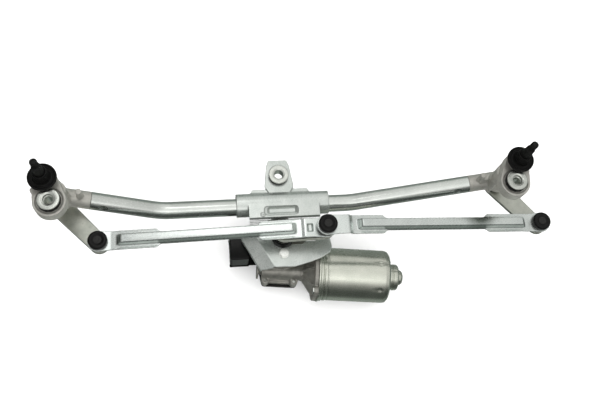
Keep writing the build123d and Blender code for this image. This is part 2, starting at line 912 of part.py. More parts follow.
# ---- gear housing and motor ----------------------------------------------------------
def cover_screw_places():
    """Two screws beside the worm tunnel and two on the case's far side."""
    tunnel = [motor_foot + along * reach + across * 11.6 for reach in tunnel_screw_reach]
    rim = [on_circle(shaft_x, shaft_y, gear_case_r + 4.2, angle) for angle in case_screw_angles]
    return [(spot.X, spot.Y) for spot in tunnel] + rim


def make_gear_housing():
    """Cast gear case: round pan over the worm wheel, worm tunnel, and motor bell."""
    post_bottom = gear_case_top - 1.0
    with BuildPart() as gear_housing:
        with BuildSketch(level(shaft_x, shaft_y, gear_case_bottom)):
            Circle(gear_case_r)
        extrude(amount=gear_case_top - gear_case_bottom)
        fillet(gear_housing.edges().group_by(Axis.Z)[-1], radius=3.0)
        # Boss round the output shaft, up through the bracket's hole.
        with BuildSketch(level(shaft_x, shaft_y, gear_case_top - 2.0)):
            Circle(10.6)
        extrude(amount=-3.0 - gear_case_top + 2.0)
        # Posts that meet the bracket's underside.
        for x, y in bolt_places():
            with BuildSketch(level(x, y, post_bottom)):
                Circle(5.6)
            extrude(amount=motor_plate_top_z - sheet_t - 0.05 - post_bottom)
        for x, y in cover_screw_places():
            with BuildSketch(level(x, y, gear_case_bottom)):
                Circle(4.6)
            extrude(amount=14.0)
        # Worm tunnel and bell, both about the motor's axis.
        with BuildSketch(motor_side):
            with BuildLine():
                Polyline(
                    (-27.0, 0),
                    (-27.0, 5.0),
                    (-22.0, 5.0),
                    (-20.0, 9.4),
                    (28.0, 9.8),
                    (30.0, 14.0),
                    (40.0, 27.0),
                    (40.0, 33.0),
                    (45.0, 33.0),
                    (45.0, 0),
                    close=True,
                )
            make_face()
        revolve(axis=motor_axis)
        # Two ears for the motor's flange screws.
        with BuildSketch(motor_cross_plane(40.0)):
            for ear in (1, -1):
                with Locations((ear * 26.5, -ear * 22.0)):
                    Circle(5.6)
        extrude(amount=5.0)
        # Hollows: gear pan, shaft boss, worm tunnel, bell.
        with BuildSketch(level(shaft_x, shaft_y, gear_case_bottom)):
            Circle(gear_case_r - 3.0)
        extrude(amount=gear_case_top - gear_case_bottom - 3.0, mode=Mode.SUBTRACT)
        with Locations((shaft_x, shaft_y, -3.0)):
            Hole(7.0, depth=40.0)
        with BuildSketch(motor_side):
            with BuildLine():
                Polyline(
                    (-22.5, 0),
                    (-22.5, 6.6),
                    (27.0, 6.6),
                    (29.0, 8.05),
                    (35.0, 8.05),
                    (37.0, 16.0),
                    (42.0, 27.0),
                    (46.0, 27.0),
                    (46.0, 0),
                    close=True,
                )
            make_face()
        revolve(axis=motor_axis, mode=Mode.SUBTRACT)
        with BuildSketch(motor_cross_plane(39.0)):
            for ear in (1, -1):
                with Locations((ear * 26.5, -ear * 22.0)):
                    Circle(2.6)
        extrude(amount=7.0, mode=Mode.SUBTRACT)
        for x, y in bolt_places():
            with Locations((x, y, motor_plate_top_z - sheet_t)):
                Hole(3.02, depth=13.0)
        for x, y in cover_screw_places():
            with Locations((x, y, gear_case_bottom + 12.6)):
                Hole(1.82, depth=12.6)
    save(gear_housing, "gear_housing")


def make_gear_cover():
    """Black moulded cover under the gear case, with the connector shroud at its left."""
    top, thick = gear_case_bottom - 0.05, 3.2
    plug_size = (22.0, 32.0)
    shroud_top = -30.0
    with BuildPart() as gear_cover:
        with BuildSketch(level(0, 0, top - thick)):
            with Locations((shaft_x, shaft_y)):
                Circle(gear_case_r)
            for place in cover_screw_places():
                with Locations(place):
                    Circle(4.6)
            make_hull()
            with Locations((plug_centre[0] + 14.0, plug_centre[1])):
                Rectangle(44.0, 30.0)
        extrude(amount=thick)
        # The connector block, standing beside the gear case.
        with BuildSketch(level(*plug_centre, top - thick)):
            RectangleRounded(*plug_size, 2.5)
        extrude(amount=shroud_top - top + thick)
        fillet(gear_cover.faces().sort_by(Axis.Z)[-1].outer_wire().edges(), radius=1.2)
        with BuildSketch(level(*plug_centre, top - thick)):
            RectangleRounded(17.0, 26.0, 1.5)
        extrude(amount=connector_ceiling_z - top + thick, mode=Mode.SUBTRACT)
        for place in cover_screw_places():
            with Locations((*place, top)):
                Hole(2.1, depth=thick)
    save(gear_cover, "gear_cover")


def make_connector_pins():
    with BuildPart() as pins:
        with BuildSketch(level(*plug_centre, connector_ceiling_z)):
            with GridLocations(7.0, 6.0, 2, 3):
                Rectangle(0.8, 2.4)
        extrude(amount=-14.0)
        chamfer(pins.faces().group_by(Axis.Z)[0].edges(), length=0.3)
    save(pins, "connector_pins")


def make_cover_screws():
    head_z = gear_case_bottom - 3.25
    with BuildPart() as screws:
        for x, y in cover_screw_places():
            with BuildSketch(level(x, y, head_z)):
                Circle(3.6)
            extrude(amount=-2.4)
            with BuildSketch(level(x, y, head_z)):
                Circle(1.8)
            extrude(amount=14.5)
            with BuildSketch(level(x, y, head_z - 2.4)):
                RegularPolygon(radius=1.7, side_count=6)
            extrude(amount=1.4, mode=Mode.SUBTRACT)
    save(screws, "cover_screws")


def make_motor_can():
    """Deep-drawn steel can with a rim, rolled shoulder, nose and dome."""
    inner = can_r - can_wall
    can = turned_on_motor(
        [
            (45.1, inner),
            (45.1, 34.0),
            (47.5, 34.0),
            (48.0, can_r),
            (can_end - 5.0, can_r),
            (can_end - 1.6, can_r - 1.4),
            (can_end, can_r - 5.0),
            (can_end, 16.2),
            (can_end + 11.0, 15.4),
            (can_end + 12.4, 14.0),
            (can_end + 12.6, 9.0),
            (can_end + 17.0, 8.2),
            (can_end + 19.0, 5.5),
            (can_end + 19.4, 0),
            (can_end + 17.4, 0),
            (can_end + 17.0, 5.0),
            (can_end + 11.4, 8.1),
            (can_end - 1.0, 8.1),
            (can_end - 2.0, inner - 3.5),
            (can_end - 6.0, inner),
        ]
    )
    save(can, "motor_can")


def make_flange_screws():
    """Screws through the motor rim's ears into the gear housing."""
    with BuildPart() as screws:
        for ear in (1, -1):
            with BuildSketch(motor_cross_plane(45.1)):
                with Locations((ear * 26.5, -ear * 22.0)):
                    Circle(2.5)
            extrude(amount=-6.5)
            with BuildSketch(motor_cross_plane(38.6)):
                with Locations((ear * 26.5, -ear * 22.0)):
                    RegularPolygon(radius=4.6, side_count=6)
            extrude(amount=-3.4 + 4.8)
    save(screws, "motor_flange_screws")


def make_magnets():
    """Two arc magnets against the can's wall."""
    outer = can_r - can_wall - 0.05
    with BuildPart() as magnets:
        with BuildSketch(motor_cross_plane(60.0)):
            Circle(outer)
            Circle(outer - 6.0, mode=Mode.SUBTRACT)
            Rectangle(2 * can_r, 14.0, mode=Mode.SUBTRACT)
        extrude(amount=52.0)
    save(magnets, "magnets")


def make_armature():
    """Shaft with its worm, laminated core, windings and commutator."""
    with BuildPart() as shaft:
        with BuildSketch(motor_side):
            with BuildLine():
                Polyline(
                    (-22.0, 0),
                    (-21.0, worm_root_r - 1.0),
                    (-16.0, worm_root_r),
                    (-16.0, worm_tip_r),
                    (16.0, worm_tip_r),
                    (16.0, armature_shaft_r),
                    (can_end + 10.0, armature_shaft_r),
                    (can_end + 11.0, 3.2),
                    (can_end + 11.0, 0),
                    close=True,
                )
            make_face()
        revolve(axis=motor_axis)
        # Worm groove, as turned rings at the wheel's tooth pitch.
        pitch = 2 * math.pi * wheel_tip_r / wheel_teeth
        groove_count = 9
        with BuildSketch(motor_side):
            for index in range(groove_count):
                centre = (index - (groove_count - 1) / 2) * pitch
                with BuildLine():
                    Polyline(
                        (centre - 0.95, worm_tip_r + 0.2),
                        (centre - 0.4, worm_root_r),
                        (centre + 0.4, worm_root_r),
                        (centre + 0.95, worm_tip_r + 0.2),
                        close=True,
                    )
                make_face()
        revolve(axis=motor_axis, mode=Mode.SUBTRACT)
    save(shaft, "armature_shaft")
    slots = 12
    core_from, core_len = 64.0, 44.0
    with BuildPart() as core:
        with BuildSketch(motor_cross_plane(core_from)):
            Circle(22.6)
            with PolarLocations(18.0, slots):
                Rectangle(8.0, 4.2, mode=Mode.SUBTRACT)
            with PolarLocations(22.4, slots):
                Rectangle(3.0, 1.6, mode=Mode.SUBTRACT)
            Circle(armature_shaft_r + 0.01, mode=Mode.SUBTRACT)
        extrude(amount=core_len)
    save(core, "armature_core")
    with BuildPart() as windings:
        for start in (core_from - 7.05, core_from + core_len + 0.05):
            with BuildSketch(motor_cross_plane(start)):
                Circle(21.6)
                Circle(7.0, mode=Mode.SUBTRACT)
            extrude(amount=7.0)
            fillet(windings.edges().sort_by(SortBy.LENGTH)[-1], radius=1.0)
    save(windings, "armature_windings")
    with BuildPart() as commutator:
        with BuildSketch(motor_cross_plane(43.0)):
            Circle(10.5)
            with PolarLocations(10.5, slots):
                Rectangle(1.6, 0.6, mode=Mode.SUBTRACT)
            Circle(armature_shaft_r + 0.01, mode=Mode.SUBTRACT)
        extrude(amount=13.0)
    save(commutator, "commutator")


def make_brush_gear():
    with BuildPart() as holder:
        with BuildSketch(motor_cross_plane(46.4)):
            Circle(27.4)
            Circle(12.0, mode=Mode.SUBTRACT)
            Rectangle(60.0, 6.6, mode=Mode.SUBTRACT)
        extrude(amount=2.2)
        with BuildSketch(motor_cross_plane(46.4)):
            Circle(29.2)
            Circle(26.0, mode=Mode.SUBTRACT)
        extrude(amount=9.0)
    save(holder, "brush_holder")
    with BuildPart() as brushes:
        with BuildSketch(motor_cross_plane(46.0)):
            for direction in (1, -1):
                with Locations((direction * 17.6, 0)):
                    Rectangle(13.0, 6.0)
        extrude(amount=5.5)
    save(brushes, "brushes")


def make_bearings():
    front = turned_on_motor(
        [(29.2, 4.06), (34.8, 4.06), (34.8, 8.0), (29.2, 8.0)]
    )
    save(front, "front_bearing")
    rear = turned_on_motor(
        [
            (can_end, 4.06),
            (can_end + 9.0, 4.06),
            (can_end + 9.0, 8.0),
            (can_end, 8.0),
        ]
    )
    save(rear, "rear_bearing")
    output_bush = tube_ring(shaft_x, shaft_y, -28.0, 22.0, 6.98, shaft_r + running_gap)
    save(output_bush, "output_bush")
    seal = turned(
        shaft_x,
        shaft_y,
        [
            (shaft_r + running_gap, -5.9),
            (6.95, -5.9),
            (6.95, -2.9),
            (10.0, -2.9),
            (9.0, -1.0),
            (6.5, 1.5),
            (shaft_r + running_gap, 1.5),
        ],
    )
    save(seal, "output_shaft_seal")


# ---- build everything ------------------------------------------------------------------
make_frame_tube()
for side in sides:
    make_housing(side)
    make_bushes(side)
    make_boot(side)
    make_spindle(side)
    make_spindle_washer(side)
    make_circlip(side)
    make_lever(side)
    make_lever_ball(side)
    make_rod(side)
    make_outer_socket(side)
    plate_top = outer_plate_z + rod_t
    plug_top = lever_ball_z + ball_r + ball_gap + 1.05
    make_cap(*ball[side], plate_top, 8.2, plug_top, f"{side}_rod_outer_cap")
    sleeve_top = eye_top_z + 5.6
    grommet_top = sleeve_top - mount_flange_t - 0.05
    make_grommet(
        *eye[side], grommet_top, eye_bottom_z + 3.5, eye_top_z - 1.2, eye_hole_r, grommet_r,
        mount_sleeve_r, f"{side}_mount_grommet",
    )
    make_mount_sleeve(*eye[side], sleeve_top, eye_bottom_z - 1.0, f"{side}_mount_sleeve")
make_inner_sockets()
make_crank()
make_output_shaft()
make_worm_wheel()
make_motor_bracket()
make_mount_bolts()
centre_top = -mount_flange_t - 0.05
make_grommet(
    0, 0, centre_top, -8.0, -6.0, eye_hole_r - 1.2, 11.6, centre_sleeve_r, "centre_grommet"
)
make_centre_sleeve()
make_gear_housing()
make_gear_cover()
make_connector_pins()
make_cover_screws()
make_motor_can()
make_flange_screws()
make_magnets()
make_armature()
make_brush_gear()
make_bearings()
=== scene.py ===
import json
import math

import bmesh
import bpy
import numpy as np
from mathutils import Matrix, Vector


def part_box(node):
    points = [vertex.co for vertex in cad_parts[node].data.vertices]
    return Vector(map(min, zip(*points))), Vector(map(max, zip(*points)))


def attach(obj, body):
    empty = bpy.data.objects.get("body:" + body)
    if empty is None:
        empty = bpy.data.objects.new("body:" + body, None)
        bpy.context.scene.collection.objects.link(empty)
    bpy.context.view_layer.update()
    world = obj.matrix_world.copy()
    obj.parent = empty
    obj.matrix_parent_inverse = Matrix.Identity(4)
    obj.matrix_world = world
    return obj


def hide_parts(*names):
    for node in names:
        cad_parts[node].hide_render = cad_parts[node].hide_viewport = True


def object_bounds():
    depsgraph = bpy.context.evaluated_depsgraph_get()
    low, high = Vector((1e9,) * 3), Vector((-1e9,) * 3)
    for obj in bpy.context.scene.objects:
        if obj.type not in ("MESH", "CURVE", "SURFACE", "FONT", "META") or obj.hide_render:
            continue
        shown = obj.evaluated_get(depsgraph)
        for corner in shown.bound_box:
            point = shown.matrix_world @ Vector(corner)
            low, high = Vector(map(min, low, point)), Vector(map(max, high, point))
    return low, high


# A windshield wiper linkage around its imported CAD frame, in metres.
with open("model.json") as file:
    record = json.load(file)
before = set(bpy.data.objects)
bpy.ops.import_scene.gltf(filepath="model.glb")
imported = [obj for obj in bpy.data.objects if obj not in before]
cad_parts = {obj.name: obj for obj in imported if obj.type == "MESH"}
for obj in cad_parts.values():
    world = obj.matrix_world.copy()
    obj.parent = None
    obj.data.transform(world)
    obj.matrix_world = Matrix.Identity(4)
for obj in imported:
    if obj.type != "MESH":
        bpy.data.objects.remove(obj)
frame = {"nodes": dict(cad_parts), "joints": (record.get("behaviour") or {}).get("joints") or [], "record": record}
cad_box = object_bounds()
record = frame["record"]
scene = bpy.context.scene
MM = 0.001
SIDES = ("left", "right")
UP = (0.0, 0.0, 1.0)

# ---- camera --------------------------------------------------------------------------
CAMERA_PLACE = (-0.0917, -0.3203, 0.8224)
CAMERA_RIGHT = (0.99056, -0.08396, 0.10836)
CAMERA_UP = (0.04325, 0.94152, 0.33418)
CAMERA_BACK = (-0.13008, -0.32634, 0.93626)
LENS_MM = 45.0
SENSOR_WIDTH_MM = 36.0

camera_data = bpy.data.cameras.new("camera")
camera_data.lens = LENS_MM
camera_data.sensor_width = SENSOR_WIDTH_MM
camera_data.clip_start = 0.01
camera_data.clip_end = 50.0
camera = bpy.data.objects.new("camera", camera_data)
scene.collection.objects.link(camera)
turn = Matrix((CAMERA_RIGHT, CAMERA_UP, CAMERA_BACK)).transposed().to_4x4()
camera.matrix_world = Matrix.Translation(CAMERA_PLACE) @ turn
scene.camera = camera
scene.view_settings.view_transform = "Standard"


# ---- studio light --------------------------------------------------------------------
def add_area_light(name, place, target, width, depth, radiance):
    """A soft box: its power is worked out from the brightness wanted on its face."""
    data = bpy.data.lights.new(name, "AREA")
    data.shape = "RECTANGLE"
    data.size = width
    data.size_y = depth
    data.energy = radiance * math.pi * width * depth
    light = bpy.data.objects.new(name, data)
    direction = Vector(target) - Vector(place)
    light.rotation_euler = direction.to_track_quat("-Z", "Y").to_euler()
    light.location = place
    scene.collection.objects.link(light)


def add_broad_light(name, direction, spread_degrees, irradiance):
    """A very soft distant light that comes from a direction."""
    data = bpy.data.lights.new(name, "SUN")
    data.angle = math.radians(spread_degrees)
    data.energy = irradiance
    light = bpy.data.objects.new(name, data)
    light.rotation_euler = Vector(direction).to_track_quat("Z", "Y").to_euler()
    scene.collection.objects.link(light)
    return light


add_area_light(
    "soft_box_top", place=(-0.21, 0.34, 1.25), target=(-0.1, 0.0, 0.0),
    width=0.38, depth=0.42, radiance=2.2,
)
add_area_light(
    "soft_box_front", place=(-0.2, -1.0, 1.45), target=(0.0, 0.0, 0.0),
    width=1.0, depth=0.34, radiance=0.7,
)
add_broad_light("fill_front", (-0.3, -0.5, 0.8), spread_degrees=70.0, irradiance=0.25)
backdrop_light = add_broad_light(
    "backdrop_light", (0.0, 0.0, 1.0), spread_degrees=120.0, irradiance=3.0
)


def map_range(tree, value, levels, results, interpolation="LINEAR"):
    """A node that turns the value's levels (low, high) into results (low, high)."""
    node = tree.nodes.new("ShaderNodeMapRange")
    node.interpolation_type = interpolation
    for socket, number in zip(("From Min", "From Max", "To Min", "To Max"), (*levels, *results)):
        node.inputs[socket].default_value = number
    tree.links.new(value, node.inputs["Value"])
    return node.outputs["Result"]


# How the studio's brightness changes with the direction looked in: axis, levels, results.
OVERHEAD = ("Z", (-0.02, 0.5), (0.34, 1.0))
WALLS = (
    ("X", (-0.25, 0.02), (0.34, 1.0)),
    ("X", (0.1, 0.45), (1.0, 0.68)),
    ("Y", (-0.86, -0.6), (0.26, 1.0)),
    ("Y", (0.35, 1.0), (1.0, 0.85)),
)
LOW_TINT = (0.84, 1.0, 0.90, 1.0)
HIGH_TINT = (1.0, 1.0, 0.985, 1.0)
WORLD_STRENGTH = 1.08


def make_world():
    """A pale studio: bright overhead, dimmer low down and to the left, right, front and back."""
    world = bpy.data.worlds.new("studio")
    world.use_nodes = True
    nodes, links = world.node_tree.nodes, world.node_tree.links
    background = nodes["Background"]
    coord = nodes.new("ShaderNodeTexCoord")
    split = nodes.new("ShaderNodeSeparateXYZ")
    links.new(coord.outputs["Generated"], split.inputs[0])

    def ramp(axis, levels, results):
        return map_range(world.node_tree, split.outputs[axis], levels, results, "SMOOTHSTEP")

    def times(a, b):
        node = nodes.new("ShaderNodeMath")
        node.operation = "MULTIPLY"
        links.new(a, node.inputs[0])
        links.new(b, node.inputs[1])
        return node.outputs["Value"]

    height = ramp(*OVERHEAD)
    total = height
    for wall in WALLS:
        total = times(total, ramp(*wall))
    tint = nodes.new("ShaderNodeMix")
    tint.data_type = "RGBA"
    tint.inputs["A"].default_value = LOW_TINT
    tint.inputs["B"].default_value = HIGH_TINT
    links.new(height, tint.inputs["Factor"])
    links.new(tint.outputs["Result"], background.inputs["Color"])
    strength = nodes.new("ShaderNodeMath")
    strength.operation = "MULTIPLY"
    strength.inputs[1].default_value = WORLD_STRENGTH
    links.new(total, strength.inputs[0])
    links.new(strength.outputs["Value"], background.inputs["Strength"])
    scene.world = world


make_world()


# ---- materials -----------------------------------------------------------------------
# Noise levels between which each effect of a finish comes in; a falling pair works downwards.
PATCH_LEVELS = (0.3, 0.7)
GRAIN_MIDDLE_LEVELS = (0.42, 0.75)
GRAIN_DARK_LEVELS = (0.58, 0.40)
PIT_LEVELS = (0.36, 0.28)
GLOSS_LEVELS = (0.3, 0.7)
WORN_EDGE_LEVELS = (0.53, 0.60)
# The painted shade patch is darkest at its centre and fades out towards its reach.
PAINTED_SHADE_LEVELS = (1.0, 0.25)
NOISE_ROUGHNESS = 0.6
DARK_GRAIN_SHARE = 0.6
PIT_SCALE = 2.5
PIT_SHADE = 0.35
PAINTED_SHADE_SHARE = 0.9
WORN_SHARE = 0.85
RELIEF_STRENGTH = 0.6


def make_material(
    name,
    dark,
    light,
    metallic,
    roughness,
    patch_mm=14.0,
    grain_mm=0.5,
    stretch=(1.0, 1.0, 1.0),
    turn_z=0.0,
    grain_share=0.35,
    rough_spread=0.08,
    bump_mm=0.03,
    worn=None,
    specular=0.5,
    speck=0.0,
    stain=None,
):
    """A procedural finish: broad patches, stretched fine grain, uneven gloss and relief, and an optional painted
    shade patch.

    worn is the colour of rubbed edges; stain is (place in mm, reach in mm, colour) of a soft dark patch of painted
    shade."""
    material = bpy.data.materials.new(name)
    material.use_nodes = True
    nodes, links = material.node_tree.nodes, material.node_tree.links
    shader = nodes["Principled BSDF"]
    shader.inputs["Metallic"].default_value = metallic
    shader.inputs["Specular IOR Level"].default_value = specular
    coord = nodes.new("ShaderNodeTexCoord")

    def noise(size_mm, detail, scale=(1.0, 1.0, 1.0)):
        mapping = nodes.new("ShaderNodeMapping")
        mapping.vector_type = "POINT"
        mapping.inputs["Rotation"].default_value = (0.0, 0.0, turn_z)
        mapping.inputs["Scale"].default_value = scale
        links.new(coord.outputs["Object"], mapping.inputs["Vector"])
        texture = nodes.new("ShaderNodeTexNoise")
        texture.inputs["Scale"].default_value = 1.0 / (size_mm * MM)
        texture.inputs["Detail"].default_value = detail
        texture.inputs["Roughness"].default_value = NOISE_ROUGHNESS
        links.new(mapping.outputs["Vector"], texture.inputs["Vector"])
        return texture.outputs["Fac"]

    def share(value, levels, most):
        return map_range(material.node_tree, value, levels, (0.0, most))

    def blend(factor, first, second):
        node = nodes.new("ShaderNodeMix")
        node.data_type = "RGBA"
        links.new(factor, node.inputs["Factor"])
        for socket, value in (("A", first), ("B", second)):
            if isinstance(value, tuple):
                node.inputs[socket].default_value = (*value, 1.0)
            else:
                links.new(value, node.inputs[socket])
        return node.outputs["Result"]

    patches = noise(patch_mm, 3.0)
    grain = noise(grain_mm, 4.0, stretch)
    middle = tuple((a + b) / 2 for a, b in zip(dark, light))
    colour = blend(share(patches, PATCH_LEVELS, 1.0), dark, light)
    colour = blend(share(grain, GRAIN_MIDDLE_LEVELS, grain_share), colour, middle)
    dark_grain = share(grain, GRAIN_DARK_LEVELS, grain_share * DARK_GRAIN_SHARE)
    colour = blend(dark_grain, colour, dark)
    if speck:
        pits = noise(grain_mm * PIT_SCALE, 2.0)
        pit_colour = tuple(c * PIT_SHADE for c in dark)
        colour = blend(share(pits, PIT_LEVELS, speck), colour, pit_colour)
    # Painted shade: a soft dark patch blended into the colour around a given place.
    if stain is not None:
        place, reach, shade = stain
        mapping = nodes.new("ShaderNodeMapping")
        mapping.vector_type = "TEXTURE"
        mapping.inputs["Location"].default_value = [value * MM for value in place]
        mapping.inputs["Scale"].default_value = [value * MM for value in reach]
        links.new(coord.outputs["Object"], mapping.inputs["Vector"])
        distance = nodes.new("ShaderNodeVectorMath")
        distance.operation = "LENGTH"
        links.new(mapping.outputs["Vector"], distance.inputs[0])
        colour = blend(share(distance.outputs["Value"], PAINTED_SHADE_LEVELS, PAINTED_SHADE_SHARE), colour, shade)
    gloss = (roughness - rough_spread, roughness + rough_spread)
    rough = map_range(material.node_tree, grain, GLOSS_LEVELS, gloss)
    if worn is not None:
        geometry = nodes.new("ShaderNodeNewGeometry")
        edge = share(geometry.outputs["Pointiness"], WORN_EDGE_LEVELS, WORN_SHARE)
        colour = blend(edge, colour, worn)
    links.new(colour, shader.inputs["Base Color"])
    links.new(rough, shader.inputs["Roughness"])
    relief = nodes.new("ShaderNodeBump")
    relief.inputs["Strength"].default_value = RELIEF_STRENGTH
    relief.inputs["Distance"].default_value = bump_mm * MM
    links.new(grain, relief.inputs["Height"])
    links.new(relief.outputs["Normal"], shader.inputs["Normal"])
    return material


motor_joint = next(joint for joint in frame["joints"] if joint["name"] == "armature_spin")
motor_foot = Vector(motor_joint["pos_m"])
along = Vector(motor_joint["axis"]).normalized()
motor_angle = math.atan2(along.y, along.x)
ALONG_X = (0.05, 1.0, 1.0)
# Painted shade on the right rod's rib: a soft dark greenish patch, darkest at its centre.
ROD_PAINTED_SHADE = ((229.5, -72.5, 19.0), (20.0, 16.0, 30.0), (0.13, 0.155, 0.135))

materials = {}


def finish(name, *look, **options):
    """A material kept under its slot's name; look is dark, light, metallic and roughness."""
    materials[name] = make_material(name, *look, **options)


finish(
    "zinc_tube", (0.56, 0.59, 0.56), (0.72, 0.74, 0.71), 1.0, 0.24,
    patch_mm=40.0, grain_mm=0.9, stretch=ALONG_X, grain_share=0.3, rough_spread=0.05,
    bump_mm=0.015,
)
finish(
    "zinc_sheet", (0.55, 0.59, 0.56), (0.71, 0.74, 0.71), 0.8, 0.3,
    patch_mm=18.0, grain_mm=0.7, bump_mm=0.03, worn=(0.88, 0.9, 0.88),
)
finish(
    "rod_sheet", (0.62, 0.66, 0.64), (0.75, 0.79, 0.76), 1.0, 0.3,
    patch_mm=26.0, grain_mm=0.8, stretch=(0.25, 1.0, 1.0), bump_mm=0.02,
    worn=(0.9, 0.92, 0.9), stain=ROD_PAINTED_SHADE,
)
finish(
    "lever_steel", (0.42, 0.44, 0.39), (0.58, 0.59, 0.53), 0.95, 0.4,
    patch_mm=12.0, grain_mm=0.6, bump_mm=0.035, worn=(0.8, 0.8, 0.76), speck=0.25,
)
finish(
    "cast_alloy", (0.46, 0.45, 0.41), (0.66, 0.65, 0.60), 0.6, 0.48,
    patch_mm=9.0, grain_mm=0.55, bump_mm=0.09, worn=(0.74, 0.73, 0.70), speck=0.4,
)
finish(
    "gear_alloy", (0.27, 0.265, 0.238), (0.45, 0.44, 0.40), 0.65, 0.42,
    patch_mm=8.0, grain_mm=0.6, bump_mm=0.1, worn=(0.60, 0.59, 0.56), speck=0.4,
)
finish(
    "black_rubber", (0.004, 0.004, 0.004), (0.010, 0.010, 0.009), 0.0, 0.42,
    patch_mm=6.0, grain_mm=0.35, bump_mm=0.03, rough_spread=0.1, specular=0.16,
)
finish(
    "black_plastic", (0.004, 0.004, 0.004), (0.010, 0.010, 0.009), 0.0, 0.33,
    patch_mm=10.0, grain_mm=0.3, bump_mm=0.02, rough_spread=0.08, specular=0.2,
)
finish(
    "spindle_steel", (0.008, 0.008, 0.008), (0.022, 0.022, 0.021), 0.6, 0.4,
    patch_mm=5.0, grain_mm=0.4, bump_mm=0.03, worn=(0.07, 0.07, 0.066), specular=0.2,
)
finish(
    "bright_steel", (0.53, 0.55, 0.51), (0.70, 0.72, 0.67), 1.0, 0.27,
    patch_mm=7.0, grain_mm=0.4, bump_mm=0.02, worn=(0.88, 0.89, 0.86),
)
finish(
    "motor_steel", (0.54, 0.56, 0.49), (0.70, 0.71, 0.63), 1.0, 0.27,
    patch_mm=26.0, grain_mm=0.8, stretch=ALONG_X, turn_z=-motor_angle, grain_share=0.3,
    rough_spread=0.04, bump_mm=0.007, worn=(0.86, 0.86, 0.80),
)
finish(
    "bronze", (0.40, 0.25, 0.12), (0.58, 0.38, 0.20), 1.0, 0.35, grain_mm=0.4, speck=0.4
)
finish(
    "copper", (0.62, 0.27, 0.14), (0.80, 0.42, 0.24), 1.0, 0.3, patch_mm=3.0, grain_mm=0.4
)
finish(
    "ferrite", (0.05, 0.05, 0.055), (0.10, 0.10, 0.11), 0.2, 0.6, grain_mm=0.4
)
finish(
    "lamination", (0.22, 0.23, 0.24), (0.36, 0.37, 0.38), 0.9, 0.4,
    grain_mm=0.5, stretch=(3.0, 1.0, 1.0), turn_z=-motor_angle,
)
finish(
    "wheel_plastic", (0.62, 0.58, 0.46), (0.80, 0.77, 0.66), 0.0, 0.45, grain_mm=0.5
)
finish(
    "brush_carbon", (0.03, 0.03, 0.03), (0.07, 0.07, 0.07), 0.1, 0.6, grain_mm=0.3
)
finish(
    "tan_board", (0.22, 0.12, 0.05), (0.36, 0.22, 0.10), 0.0, 0.5, grain_mm=0.4
)
finish(
    "cap_centre", (0.014, 0.014, 0.013), (0.030, 0.030, 0.028), 0.0, 0.5, patch_mm=2.0,
    grain_mm=0.3, bump_mm=0.06, specular=0.3,
)

slot_of = {part["node"]: part["material_slot"] for part in record["subparts"]}
body_of = {
    node: body for body, members in record["behaviour"]["bodies"].items() for node in members
}
for node, cad_object in frame["nodes"].items():
    cad_object.data.materials.clear()
    cad_object.data.materials.append(materials[slot_of[node]])


# ---- mesh helpers --------------------------------------------------------------------
def centre_of(node):
    """The middle of a CAD node's box, in metres."""
    low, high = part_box(node)
    return (low + high) / 2


def object_from(bm, name, material):
    """A smooth-shaded object made from bm, which is used up."""
    mesh = bpy.data.meshes.new(name)
    bmesh.ops.recalc_face_normals(bm, faces=bm.faces)
    bm.to_mesh(mesh)
    bm.free()
    piece = bpy.data.objects.new(name, mesh)
    scene.collection.objects.link(piece)
    mesh.materials.append(material)
    mesh.shade_smooth()
    return piece


def hard_edges(piece, degrees):
    piece.data.set_sharp_from_angle(angle=math.radians(degrees))


def stands_for(piece, *nodes):
    """The piece replaces CAD nodes, and rides as the first of them."""
    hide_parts(*nodes)
    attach(piece, body_of[nodes[0]])
    return piece


def rides_with(piece, node):
    """The piece replaces no CAD node: it rides as the node does, with a slot of its own."""
    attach(piece, body_of[node])
    return piece


HARD_EDGE_DEGREES = 35.0
EASE_STEPS = 4
MOST_EASE = 0.45  # of the shorter line at a corner
ON_AXIS = 1e-6
NO_EASE = 1e-5


def rounded(points, radius):
    """The closed polyline with each corner off the axis eased into a short curve."""
    eased = []
    for index, point in enumerate(points):
        here = Vector(point)
        before = Vector(points[index - 1]) - here
        after = Vector(points[(index + 1) % len(points)]) - here
        reach = min(radius, before.length * MOST_EASE, after.length * MOST_EASE)
        if here.x < ON_AXIS or reach < NO_EASE:
            eased.append(tuple(point))
            continue
        start = here + before.normalized() * reach
        end = here + after.normalized() * reach
        for step in range(EASE_STEPS + 1):
            share = step / EASE_STEPS
            spot = start * (1 - share) ** 2 + here * 2 * share * (1 - share) + end * share**2
            eased.append(tuple(spot))
    return eased


def lathe(name, profile, place, material, axis=(0, 0, 1), columns=96, ease=0.4, shape=None):
    """A turned piece from (radius, height) points in mm about an axis through place.

    shape(radius, height, angle) may return a changed radius, for flutes and dents."""
    points = rounded([(r, z, 0.0) for r, z in profile], ease)
    basis = Vector(axis).to_track_quat("Z", "Y").to_matrix()
    bm = bmesh.new()
    rings = []
    for radius, height, _ in points:
        if radius < ON_AXIS:
            spot = Vector(place) + basis @ Vector((0, 0, height * MM))
            rings.append([bm.verts.new(spot)])
            continue
        ring = []
        for column in range(columns):
            angle = 2 * math.pi * column / columns
            r = radius if shape is None else shape(radius, height, angle)
            local = Vector((r * math.cos(angle), r * math.sin(angle), height)) * MM
            ring.append(bm.verts.new(Vector(place) + basis @ local))
        rings.append(ring)
    for first, second in zip(rings, rings[1:] + rings[:1]):
        if len(first) == 1 and len(second) == 1:
            continue
        for column in range(columns):
            after = (column + 1) % columns
            if len(first) == 1:
                bm.faces.new((first[0], second[column], second[after]))
            elif len(second) == 1:
                bm.faces.new((first[column], second[0], first[after]))
            else:
                bm.faces.new((first[column], second[column], second[after], first[after]))
    piece = object_from(bm, name, material)
    hard_edges(piece, HARD_EDGE_DEGREES)
    return piece


def close_walls(bm, first, second):
    """Two matching loops closed into a solid: both ends, and the walls between them."""
    bm.faces.new(first)
    bm.faces.new(second)
    for index in range(len(first)):
        after = (index + 1) % len(first)
        bm.faces.new((first[index], first[after], second[after], second[index]))


